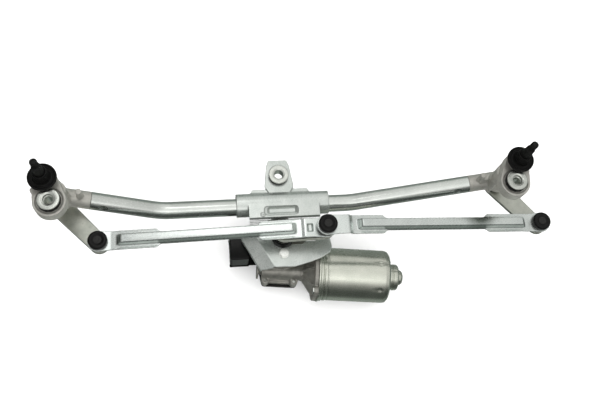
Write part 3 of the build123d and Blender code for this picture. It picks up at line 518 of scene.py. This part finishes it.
def rectangle(x_low, x_high, y_low, y_high):
    """The corners of an upright rectangle, in order round it."""
    return [(x_low, y_low), (x_high, y_low), (x_high, y_high), (x_low, y_high)]


def add_prism(bm, outline, bottom, top):
    """A closed vertical prism from plan points and two heights, all in mm."""
    low = [bm.verts.new((x * MM, y * MM, bottom * MM)) for x, y in outline]
    high = [bm.verts.new((x * MM, y * MM, top * MM)) for x, y in outline]
    close_walls(bm, low, high)


BAR_CORNERS = ((1, 1), (-1, 1), (-1, -1), (1, -1))


def add_bar(bm, start, end, half_width, half_height):
    """A closed rectangular bar between two points in metres; its sizes are in mm."""
    direction = (Vector(end) - Vector(start)).normalized()
    side = direction.cross(Vector((0, 0, 1))).normalized() * half_width * MM
    rise = side.cross(direction).normalized() * half_height * MM
    loops = [
        [bm.verts.new(Vector(spot) + side * a + rise * b) for a, b in BAR_CORNERS]
        for spot in (start, end)
    ]
    close_walls(bm, *loops)


def add_drum(bm, centre, axis, radius, length, columns):
    """A closed drum along an axis from its centre point; sizes in mm, centre in metres."""
    turn_to = Vector(axis).to_track_quat("Z", "Y").to_matrix().to_4x4()
    place = Matrix.Translation(Vector(centre)) @ turn_to
    bmesh.ops.create_cone(
        bm, cap_ends=True, segments=columns, radius1=radius * MM, radius2=radius * MM,
        depth=length * MM, matrix=place,
    )


MERGE_DISTANCE = 1e-6
SMOOTH_FACTOR = 0.5


def softened(node, name, voxel_mm, passes, extra=None, move=None, source=None):
    """The CAD node's form with its edges eased, as in a casting or a pressing.

    source(bm) draws the form instead of the CAD node, extra(bm) adds closed solids before the
    surfaces are fused, and move(point) shifts points afterwards."""
    bm = bmesh.new()
    if source is None:
        bm.from_mesh(frame["nodes"][node].data)
        bmesh.ops.remove_doubles(bm, verts=bm.verts, dist=MERGE_DISTANCE)
    else:
        source(bm)
    if extra is not None:
        extra(bm)
    piece = object_from(bm, name, materials[slot_of[node]])
    remesh = piece.modifiers.new("fuse", "REMESH")
    remesh.mode = "VOXEL"
    remesh.voxel_size = voxel_mm * MM
    remesh.use_smooth_shade = True
    ease = piece.modifiers.new("ease", "SMOOTH")
    ease.factor = SMOOTH_FACTOR
    ease.iterations = passes
    evaluated = piece.evaluated_get(bpy.context.evaluated_depsgraph_get())
    final = bpy.data.meshes.new_from_object(evaluated)
    piece.modifiers.clear()
    old = piece.data
    piece.data = final
    bpy.data.meshes.remove(old)
    final.name = name
    if not final.materials:
        final.materials.append(materials[slot_of[node]])
    if move is not None:
        for vertex in final.vertices:
            vertex.co = move(vertex.co)
    final.shade_smooth()
    return stands_for(piece, node)


def eased_share(share):
    """The share held between 0 and 1, with a soft start and end."""
    share = min(max(share, 0.0), 1.0)
    return share * share * (3 - 2 * share)


def smooth_step(value, low, high):
    """0 below low, 1 above high, and eased between them."""
    return eased_share((value - low) / (high - low))


def bump_shape(value, low, high, edge):
    """1 between low and high, easing to 0 over edge on each side."""
    return eased_share(min((value - low + edge) / edge, (high + edge - value) / edge))


# ---- end housings --------------------------------------------------------------------
CAST_VOXEL, CAST_PASSES = 0.65, 3
RIB_OFFSETS = (-7.0, 7.0)
RIB_INWARD = 5.5
RIB_BACK = 8.0
RIB_R, RIB_LENGTH = 3.2, 30.0
RIB_FOOT_DROP, RIB_HEAD_DROP = 42.0, 8.0
BOSS_R, BOSS_LENGTH = 3.4, 16.0
BOSS_INWARD, BOSS_BACK, BOSS_DROP = 30.0, 3.0, 41.0
SMALL_COLUMNS = 24


def build_housing(side):
    """A cast end housing, with ribs down its barrel and an ejector boss by the spigot."""
    inward = 1.0 if side == "left" else -1.0
    spindle_at = centre_of(f"{side}_spindle")
    top_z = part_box(f"{side}_housing")[1].z / MM

    def housing_ribs(bm):
        x, y = spindle_at.x, spindle_at.y
        for offset in RIB_OFFSETS:
            rib_x, rib_y = x + (offset - inward * RIB_INWARD) * MM, y - RIB_BACK * MM
            foot = Vector((rib_x, rib_y, (top_z - RIB_FOOT_DROP) * MM))
            head = Vector((rib_x, rib_y, (top_z - RIB_HEAD_DROP) * MM))
            add_drum(bm, (foot + head) / 2, UP, RIB_R, RIB_LENGTH, SMALL_COLUMNS)
        boss_x, boss_y = x + inward * BOSS_INWARD * MM, y - BOSS_BACK * MM
        spot = Vector((boss_x, boss_y, (top_z - BOSS_DROP) * MM))
        add_drum(bm, spot, UP, BOSS_R, BOSS_LENGTH, SMALL_COLUMNS)

    softened(f"{side}_housing", f"{side}_housing_cast", CAST_VOXEL, CAST_PASSES, extra=housing_ribs)


for side in SIDES:
    build_housing(side)

# ---- bracket -------------------------------------------------------------------------
DECK_ABOVE = -6.0
LOUVRE_X, LOUVRE_X_EDGE = (-13.5, 15.5), 4.0
LOUVRE_Y, LOUVRE_Y_EDGE = (-46.5, -42.5), 2.2
LOUVRE_DROP = 2.4
EMBOSS_X, EMBOSS_Y = -22.0, -49.6
EMBOSS_RISE, EMBOSS_R, EMBOSS_EDGE = 0.8, 2.0, 1.0
PIT_DROP, PIT_R, PIT_EDGE = 0.7, 0.4, 0.9
PLATE_BELOW = -9.0
SLOT_BACK, SLOT_FRONT = -90.0, -77.5
SLOT_X, SLOT_X_EDGE = (7.0, 22.0), 6.0
SLOT_BOW, SLOT_EASE = 3.4, 9.5


def press_bracket(point):
    """Press marks: a louvre and a round emboss on the deck, and the slot's bowed edge."""
    x, y, z = point.x / MM, point.y / MM, point.z / MM
    drop = 0.0
    if z > DECK_ABOVE:
        louvre = bump_shape(x, *LOUVRE_X, LOUVRE_X_EDGE) * bump_shape(y, *LOUVRE_Y, LOUVRE_Y_EDGE)
        drop += LOUVRE_DROP * louvre
        ring = math.hypot(x - EMBOSS_X, y - EMBOSS_Y)
        drop -= EMBOSS_RISE * bump_shape(ring, 0.0, EMBOSS_R, EMBOSS_EDGE)
        drop += PIT_DROP * bump_shape(ring, 0.0, PIT_R, PIT_EDGE)
    if z < PLATE_BELOW and SLOT_BACK < y < SLOT_FRONT:
        bow = min((y - SLOT_BACK) / SLOT_EASE, 1.0)
        y -= SLOT_BOW * bump_shape(x, *SLOT_X, SLOT_X_EDGE) * bow
    return Vector((point.x, y * MM, point.z - drop * MM))


softened("motor_bracket", "motor_bracket_pressed", voxel_mm=0.6, passes=4, move=press_bracket)

# ---- gear housing --------------------------------------------------------------------
shaft_at = centre_of("output_shaft")
across = Vector((along.y, -along.x, 0.0))
LEDGE_ACROSS, LEDGE_Z = 10.6, -58.2
LEDGE_BEFORE, LEDGE_AFTER = 11.5, 13.5
LEDGE_HALVES = (2.6, 3.4)
TUNNEL_RINGS = ((-26.0, 10.4), (-20.0, 10.4), (27.0, 10.4), (33.0, 17.2))
RING_WIDTH, RING_COLUMNS = 2.4, 48
BELL_START, BELL_END = 28.5, 40.5
BELL_START_R, BELL_END_R = 10.0, 28.0
BELL_RIB_STEP = 45
BELL_RIB_HALVES = (1.3, 2.4)
CASE_RIB_ANGLES = range(200, 345, 24)
CASE_RIB_RING_R, CASE_RIB_Z = 29.2, -46.0
CASE_RIB_R, CASE_RIB_LENGTH, CASE_RIB_COLUMNS = 1.9, 28.0, 16


def gear_ribs(bm):
    """Machined ledge between the cover screws, ribs on the bell and rings on the tunnel."""
    ledge = motor_foot + across * LEDGE_ACROSS * MM
    ledge.z = LEDGE_Z * MM
    before, after = ledge - along * LEDGE_BEFORE * MM, ledge + along * LEDGE_AFTER * MM
    add_bar(bm, before, after, *LEDGE_HALVES)
    for reach, radius in TUNNEL_RINGS:
        add_drum(bm, motor_foot + along * reach * MM, along, radius, RING_WIDTH, RING_COLUMNS)
    for degrees in range(0, 360, BELL_RIB_STEP):
        angle = math.radians(degrees)
        out = across * math.cos(angle) + Vector(UP) * math.sin(angle)
        low = motor_foot + along * BELL_START * MM + out * BELL_START_R * MM
        high = motor_foot + along * BELL_END * MM + out * BELL_END_R * MM
        add_bar(bm, low, high, *BELL_RIB_HALVES)
    for degrees in CASE_RIB_ANGLES:
        angle = math.radians(degrees)
        x = shaft_at.x + CASE_RIB_RING_R * MM * math.cos(angle)
        y = shaft_at.y + CASE_RIB_RING_R * MM * math.sin(angle)
        spot = (x, y, CASE_RIB_Z * MM)
        add_drum(bm, spot, UP, CASE_RIB_R, CASE_RIB_LENGTH, CASE_RIB_COLUMNS)


softened("gear_housing", "gear_housing_cast", CAST_VOXEL, CAST_PASSES, extra=gear_ribs)
collar = lathe(
    "output_collar_moulded",
    [(10.9, -11.6), (12.6, -11.6), (12.9, -10.6), (12.0, -5.0), (10.9, -2.6), (10.2, -2.6)],
    Vector((shaft_at.x, shaft_at.y, 0.0)), materials["black_rubber"],
)
rides_with(collar, "output_shaft_seal")

# ---- levers, crank and cover ---------------------------------------------------------
for node in ("left_lever", "right_lever", "crank_arm"):
    softened(node, f"{node}_forged", voxel_mm=0.45, passes=3)


COLLAR_HALF_X, COLLAR_HALF_Y, COLLAR_SHIFT = 11.6, 1.4, 15.4
COVER_RIB_PITCH, COVER_RIB_HALF = 5.2, 0.8
COVER_RIB_OUTER, COVER_RIB_INNER = 11.5, 10.7
COLLAR_HEIGHTS, COVER_RIB_HEIGHTS = (3.0, 6.0), (8.0, 31.0)


def cover_ribs(bm):
    """Collars at two walls of the connector block, and thin ribs down its left wall."""
    low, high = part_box("connector_pins")
    mid_x, mid_y = (low.x + high.x) / 2 / MM, (low.y + high.y) / 2 / MM
    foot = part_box("gear_cover")[0].z / MM
    for wall in (-1, 1):
        y = mid_y + wall * COLLAR_SHIFT
        outline = rectangle(
            mid_x - COLLAR_HALF_X, mid_x + COLLAR_HALF_X, y - COLLAR_HALF_Y, y + COLLAR_HALF_Y
        )
        add_prism(bm, outline, *(foot + height for height in COLLAR_HEIGHTS))
    for step in (-2, -1, 1, 2):
        y = mid_y + step * COVER_RIB_PITCH
        outline = rectangle(
            mid_x - COVER_RIB_OUTER, mid_x - COVER_RIB_INNER, y - COVER_RIB_HALF, y + COVER_RIB_HALF
        )
        add_prism(bm, outline, *(foot + height for height in COVER_RIB_HEIGHTS))


softened("gear_cover", "gear_cover_moulded", voxel_mm=0.6, passes=2, extra=cover_ribs)


# ---- rods ----------------------------------------------------------------------------
ROD_T = 2.2
EYE_R = 12.0
FLANGE_HALF = 11.0
LIP_RISE = 0.7
RIB_HALF = 6.3
RIB_RISE = 7.9
RIB_CROWN = 0.35
SLOPE_START = 14.0
BODY_START, BODY_END_GAP = 24.0, 30.0
EYE_EASE = 14.0
INNER_DROP = {"left": 1.6, "right": 4.0}
PIT_DEPTH = {"left": 3.6, "right": 0.0}
SLIM_MARGIN, SLIM_EASE = 0.9, 5.0
RIB_END_GAP, RIB_END_EASE = 4.0, 6.0
LEAST_HALF = 0.6
UNDER_NARROWING, UNDER_RISE = 1.18, 0.985
OUTER_SHARES = (1.0, 0.95, 0.9, 0.8)
RIB_COLUMNS_HALF = 7.2
RIB_COLUMNS = (
    -7.0, -6.5, -6.0, -5.4, -4.8, -4.2, -2.5, 0, 2.5, 4.2, 4.8, 5.4, 6.0, 6.5, 7.0
)


def join_lines(bm, lines):
    """Faces between each line of points and the next."""
    for first, second in zip(lines, lines[1:]):
        for column in range(len(first) - 1):
            bm.faces.new((first[column], first[column + 1], second[column + 1], second[column]))


def build_rod(side):
    """A pressed rod: flat eyes, a raised hollow rib, and flanges near both ends."""
    ball = centre_of(f"{side}_lever_ball")
    pin = centre_of("crank_ball_stud")
    outer_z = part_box(f"{side}_rod")[0].z / MM
    inner_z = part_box(f"{side}_rod_inner_socket")[0].z / MM
    start = Vector((ball.x, ball.y, 0.0))
    end = Vector((pin.x, pin.y, 0.0))
    length = (end - start).length / MM
    direction = (end - start).normalized()
    normal = Vector((-direction.y, direction.x, 0.0))
    body_end = length - BODY_END_GAP
    body_high = inner_z - INNER_DROP[side]
    slim_from, slim_to = {
        "left": (BODY_START + 45.0, body_end - 48.0),
        "right": (72.0, length - 70.0),
    }[side]
    rib_from, rib_to = BODY_START - RIB_END_GAP, body_end - RIB_END_GAP

    def base(s):
        share = max((s - SLOPE_START) / (body_end - SLOPE_START), 0.0)
        z = outer_z + min(share, 1.0) * (body_high - outer_z)
        return z + (inner_z - z) * smooth_step(s, body_end, body_end + 6.0)

    def half_width(s):
        if s < 0 or s > length:
            over = -s if s < 0 else s - length
            return math.sqrt(max(EYE_R**2 - over**2, 0.0))
        slim = RIB_HALF + SLIM_MARGIN
        narrow = smooth_step(s, slim_from - SLIM_EASE, slim_from)
        narrow *= 1 - smooth_step(s, slim_to, slim_to + SLIM_EASE)
        eye = max(1.0 - s / EYE_EASE, 1.0 - (length - s) / EYE_EASE, 0.0)
        wide = FLANGE_HALF + (EYE_R - FLANGE_HALF) * eye
        return wide + (slim - wide) * narrow

    def lift(s, y):
        along_rib = smooth_step(s, rib_from, rib_from + RIB_END_EASE)
        along_rib *= 1 - smooth_step(s, rib_to - RIB_END_EASE, rib_to)
        side_wall = 1 - smooth_step(abs(y), RIB_HALF - 1.9, RIB_HALF + 0.3)
        crown = RIB_CROWN * (1 - (y / RIB_HALF) ** 2) if abs(y) < RIB_HALF else 0.0
        rise = (RIB_RISE + crown) * along_rib * side_wall
        lip = LIP_RISE * smooth_step(abs(y), FLANGE_HALF - 2.4, FLANGE_HALF) * along_rib
        pit_from = body_end + 9.0
        pit = bump_shape(s, pit_from, pit_from + 4.6, 0.9) * bump_shape(y, -4.0, 4.0, 0.9)
        return rise + lip - PIT_DEPTH[side] * pit

    def source(bm):
        stations = np.concatenate(
            [np.linspace(-EYE_R + 0.05, 44.0, 86), np.linspace(45.5, length - 46.0, 90),
             np.linspace(length - 44.5, length + EYE_R - 0.05, 90)]
        )
        top, under = [], []
        for s in stations:
            reach = max(half_width(s), LEAST_HALF)
            inner = [y * min(reach / RIB_COLUMNS_HALF, 1.0) for y in RIB_COLUMNS]
            outer = [reach * share for share in OUTER_SHARES]
            outer = [max(value, inner[-1] + 0.01 * (4 - i)) for i, value in enumerate(outer)]
            row = [-value for value in outer] + inner + outer[::-1]
            tops = [base(s) + ROD_T + lift(s, y) for y in row]
            unders = [base(s) + lift(s, y * UNDER_NARROWING) * UNDER_RISE for y in row]
            for sheet, heights in ((top, tops), (under, unders)):
                line = []
                for y, z in zip(row, heights):
                    spot = start + direction * s * MM + normal * y * MM + Vector((0, 0, z * MM))
                    line.append(bm.verts.new(spot))
                sheet.append(line)
        ends = (0, -1)
        join_lines(bm, top)
        join_lines(bm, under)
        for end_of_row in ends:
            join_lines(bm, [[line[end_of_row] for line in sheet] for sheet in (top, under)])
        for end_of_rod in ends:
            join_lines(bm, [top[end_of_rod], under[end_of_rod]])
        bmesh.ops.recalc_face_normals(bm, faces=bm.faces)

    softened(f"{side}_rod", f"{side}_rod_pressed", voxel_mm=0.5, passes=3, source=source)


for side in SIDES:
    build_rod(side)


# ---- ball joint caps -----------------------------------------------------------------
SOCKET_GRIP = 4.9
CAP_BORE_R = 8.25
FLUTES, FLUTE_DEPTH = 24, 0.22
CAP_COLUMNS, DISC_COLUMNS = 96, 64


def build_cap(node):
    """A snap cap: fluted skirt, raised rim, and a dished top with a matt centre."""
    low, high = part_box(node)
    radius = (high.x - low.x) / 2 / MM
    top, bottom = high.z / MM, low.z / MM
    if "outer" in node:
        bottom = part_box(node.replace("cap", "socket"))[1].z / MM - SOCKET_GRIP
    inner = CAP_BORE_R
    middle = (low + high) / 2
    place = Vector((middle.x, middle.y, 0.0))

    def flutes(r, z, angle):
        if r > radius - 0.9 and z < top - 2.6:
            return r - FLUTE_DEPTH * (1 + math.cos(angle * FLUTES)) / 2
        return r

    profile = [
        (inner, bottom), (radius, bottom), (radius, top - 2.2), (radius - 0.5, top - 1.1),
        (radius - 1.7, top - 0.25), (radius - 2.6, top), (radius - 3.6, top - 0.05),
        (radius - 4.4, top - 0.75), (5.3, top - 1.0), (4.9, top - 1.3), (0.0, top - 1.3),
        (0.0, top - 2.4), (inner, top - 2.4),
    ]
    cap = lathe(f"{node}_moulded", profile, place, materials["black_plastic"],
                columns=CAP_COLUMNS, ease=0.35, shape=flutes)
    stands_for(cap, node)
    disc = lathe(
        f"{node}_centre",
        [(0.0, top - 1.5), (4.6, top - 1.5), (4.6, top - 0.95), (4.1, top - 0.75), (2.0, top - 0.7),
         (1.6, top - 0.9), (0.0, top - 0.9)],
        place, materials["cap_centre"], columns=DISC_COLUMNS, ease=0.15,
    )
    rides_with(disc, node)


for node in ("left_rod_outer_cap", "right_rod_outer_cap", "right_rod_inner_cap"):
    build_cap(node)

# ---- spindles, boots, sleeves and grommets -------------------------------------------
THREAD_PITCH = 1.25
THREAD_R, THREAD_ROOT_R = 4.0, 3.42
THREAD_EDGE_DEGREES = 50.0
THREAD_LENGTH, CONE_DROP = 11.0, 27.0
KNURL_DEPTH, KNURL_WAVES = 0.34, 16
THREAD_ROWS = 80
CONE_ROWS = 14


def build_spindle(side):
    """The spindle with its knurled cone and a rolled thread."""
    node = f"{side}_spindle"
    low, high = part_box(node)
    middle = (low + high) / 2
    place = Vector((middle.x, middle.y, 0.0))
    top, foot = high.z / MM, low.z / MM
    lever_low, lever_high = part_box(f"{side}_lever")
    plate_low, plate_high = lever_low.z / MM, lever_high.z / MM
    thread_from, cone_from = top - THREAD_LENGTH, top - CONE_DROP
    profile = [
        (0.0, foot), (5.2, foot), (6.1, foot + 0.9), (6.1, plate_low), (4.35, plate_low),
        (4.35, plate_high), (6.0, plate_high), (6.0, cone_from - 0.6), (5.85, cone_from),
    ]
    for row in range(CONE_ROWS + 1):
        share = row / CONE_ROWS
        profile.append((5.7 - 0.75 * share, cone_from + 0.4 + share * 13.2))
    profile += [(4.85, thread_from - 1.4), (3.5, thread_from - 0.8), (3.5, thread_from - 0.1)]
    for row in range(THREAD_ROWS + 1):
        profile.append((THREAD_R, thread_from + 9.8 * row / THREAD_ROWS))
    profile += [(3.1, top - 0.5), (2.7, top), (0.0, top)]

    def relief(r, z, angle):
        if cone_from + 0.3 < z < cone_from + 13.8 and r > 4.9:
            return r - KNURL_DEPTH * (1 - abs(math.sin(angle * KNURL_WAVES)))
        if thread_from <= z <= top - 1.15 and abs(r - THREAD_R) < 0.01:
            turn_share = (z / THREAD_PITCH - angle / (2 * math.pi)) % 1.0
            crest = THREAD_R - THREAD_ROOT_R
            return THREAD_ROOT_R + crest * (1 - abs(2 * turn_share - 1))
        return r

    piece = lathe(f"{node}_threaded", profile, place, materials["spindle_steel"], columns=128,
                  ease=0.05, shape=relief)
    hard_edges(piece, THREAD_EDGE_DEGREES)
    stands_for(piece, node)


BOOT_DISC_DROP = 13.0
BOOT_SKIRT_R = 9.66


def build_boot(side):
    """Rain boot: a broad dished disc, rings on its top, and a neck round the spindle."""
    node = f"{side}_boot"
    low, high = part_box(node)
    middle = (low + high) / 2
    place = Vector((middle.x, middle.y, 0.0))
    radius = (high.x - low.x) / 2 / MM
    bottom, neck_top = low.z / MM, high.z / MM
    disc = neck_top - BOOT_DISC_DROP
    skirt = BOOT_SKIRT_R
    profile = [
        (skirt, bottom), (skirt + 0.9, bottom), (skirt + 0.95, disc - 5.0),
        (radius - 1.2, disc - 3.9),
        (radius, disc - 2.9), (radius, disc - 0.9), (radius - 0.7, disc), (radius - 1.7, disc),
        (radius - 2.3, disc - 0.9), (12.0, disc - 1.1), (11.6, disc - 0.6), (11.1, disc - 0.6),
        (10.7, disc - 1.1), (9.7, disc - 1.0), (8.7, disc + 0.4), (7.9, disc + 3.4),
        (8.1, disc + 3.9), (8.1, disc + 4.5), (7.6, disc + 5.0), (7.3, disc + 9.6),
        (7.5, disc + 10.1), (7.5, disc + 12.2), (7.0, neck_top), (6.15, neck_top),
        (6.15, disc - 2.8), (9.26, disc - 2.8), (9.26, disc - 6.9), (skirt, disc - 6.9),
    ]
    boot = lathe(f"{node}_moulded", profile, place, materials["black_rubber"], ease=0.45)
    stands_for(boot, node)


NIBS, NIB_DEPTH = 12, 0.35


def build_sleeve(node, grommet):
    """A flanged steel sleeve and its clip-in rubber grommet with small nibs."""
    low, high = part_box(node)
    middle = (low + high) / 2
    place = Vector((middle.x, middle.y, 0.0))
    top, bottom = high.z / MM, low.z / MM
    flange = (high.x - low.x) / 2 / MM
    centre = node.startswith("centre")
    bore, wall = (5.2, 6.9) if centre else (4.2, 6.0)
    cup = bore if centre else 5.4
    cup_depth = 0.9 if centre else 3.0
    thickness = 1.6
    profile = [
        (bore, bottom), (wall, bottom), (wall, top - thickness), (flange, top - thickness),
        (flange, top - 0.5), (flange - 0.7, top), (cup + 2.0, top), (cup + 1.5, top - 0.3),
        (cup + 0.2, top - 0.6), (cup, top - 1.0), (cup, top - cup_depth - 0.2),
        (bore + 0.02, top - cup_depth - 0.9),
    ]
    sleeve = lathe(f"{node}_turned", profile, place, materials["bright_steel"], ease=0.25)
    stands_for(sleeve, node)
    low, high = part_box(grommet)
    top, bottom = high.z / MM, low.z / MM
    outer = (high.x - low.x) / 2 / MM
    neck = outer - (2.45 if centre else 2.05)
    groove_low, groove_high = bottom + 3.3, top - (4.35 if centre else 5.15)
    profile = [
        (wall + 0.05, bottom), (outer - 1.0, bottom), (outer, bottom + 1.2),
        (outer, groove_low - 0.05),
        (neck, groove_low - 0.05), (neck, groove_high + 0.05), (outer, groove_high + 0.05),
        (outer, top - 1.0), (outer - 0.9, top - 0.1), (outer - 2.4, top), (wall + 0.05, top),
    ]

    def nibs(r, z, angle):
        if r > outer - 0.3 and z > groove_high:
            return r - NIB_DEPTH * (1 + math.cos(angle * NIBS)) / 2
        return r

    ring = lathe(f"{grommet}_moulded", profile, place, materials["black_rubber"], ease=0.35,
                 shape=nibs)
    stands_for(ring, grommet)


for side in SIDES:
    build_spindle(side)
    build_boot(side)
    build_sleeve(f"{side}_mount_sleeve", f"{side}_mount_grommet")
build_sleeve("centre_mount_sleeve", "centre_grommet")


# ---- motor can -----------------------------------------------------------------------
CAN_R = 31.5
CAN_END = 131.0
DIMPLE_S, DIMPLE_DEPTH = 118.0, 0.7
RADIAN_DEGREES = 57.3


def build_motor_can():
    """Deep-drawn can: rolled beads by the rim, pressed dimples, stepped nose and dome."""
    end = CAN_END
    profile = [
        (29.6, 45.1), (33.9, 45.1), (33.9, 47.2), (32.7, 47.6), (32.7, 50.4), (31.4, 50.9),
        (31.4, 52.2), (32.0, 52.6), (32.0, 55.4), (31.3, 55.8), (31.3, 57.0), (31.5, 57.4),
        (31.5, 60.0), (31.5, 72.0), (31.5, 84.0), (31.5, 96.0), (31.5, 108.0), (31.5, 116.0),
        (31.5, 120.0), (31.5, end - 6.5), (30.6, end - 2.6), (28.0, end - 0.6), (25.0, end),
        (20.0, end), (19.2, end + 0.5), (18.2, end), (16.4, end), (15.9, end + 1.0),
        (15.9, end + 4.4), (15.2, end + 4.8), (15.2, end + 6.0), (15.7, end + 6.4),
        (15.5, end + 10.6), (14.2, end + 12.2), (10.4, end + 12.5), (9.4, end + 12.9),
        (8.9, end + 15.6), (7.4, end + 17.8), (4.4, end + 19.0), (0.0, end + 19.3),
        (0.0, end + 17.4), (5.0, end + 17.0), (8.1, end + 11.4), (8.1, end - 1.0),
        (26.0, end - 2.0), (29.5, end - 6.0),
    ]

    def dents(r, s, angle):
        if r < 31.0 or s < 58.0:
            return r
        depth = 0.0
        for centre_angle in range(15, 360, 60):
            spread = (math.degrees(angle) - centre_angle + 180.0) % 360.0 - 180.0
            far = math.hypot(spread / RADIAN_DEGREES * CAN_R, s - DIMPLE_S)
            depth = max(depth, DIMPLE_DEPTH * bump_shape(far, 0.0, 1.4, 2.2))
        return r - depth

    can = lathe("motor_can_drawn", profile, motor_foot, materials["motor_steel"],
                axis=along, columns=144, ease=0.5, shape=dents)
    stands_for(can, "motor_can")


build_motor_can()

# ---- floor ---------------------------------------------------------------------------
FLOOR_SIZE = 40.0
FLOOR_GAP = 0.0004
floor_bm = bmesh.new()
bmesh.ops.create_grid(floor_bm, x_segments=2, y_segments=2, size=FLOOR_SIZE)
floor_z = min(corner[2] for corner in cad_box) - FLOOR_GAP
bmesh.ops.translate(floor_bm, verts=floor_bm.verts, vec=(0.0, 0.0, floor_z))
floor_material = make_material(
    "floor_white", (0.93, 0.93, 0.93), (0.95, 0.95, 0.95), 0.0, 0.9,
    patch_mm=400.0, grain_mm=3.0, bump_mm=0.0, grain_share=0.1,
)
floor = object_from(floor_bm, "floor", floor_material)
# The metal doesn't mirror the floor, and the floor alone is lit by the backdrop's light.
floor.visible_glossy = False
backdrop = bpy.data.collections.new("backdrop")
backdrop.objects.link(floor)
backdrop_light.light_linking.receiver_collection = backdrop
backdrop_light.light_linking.blocker_collection = backdrop
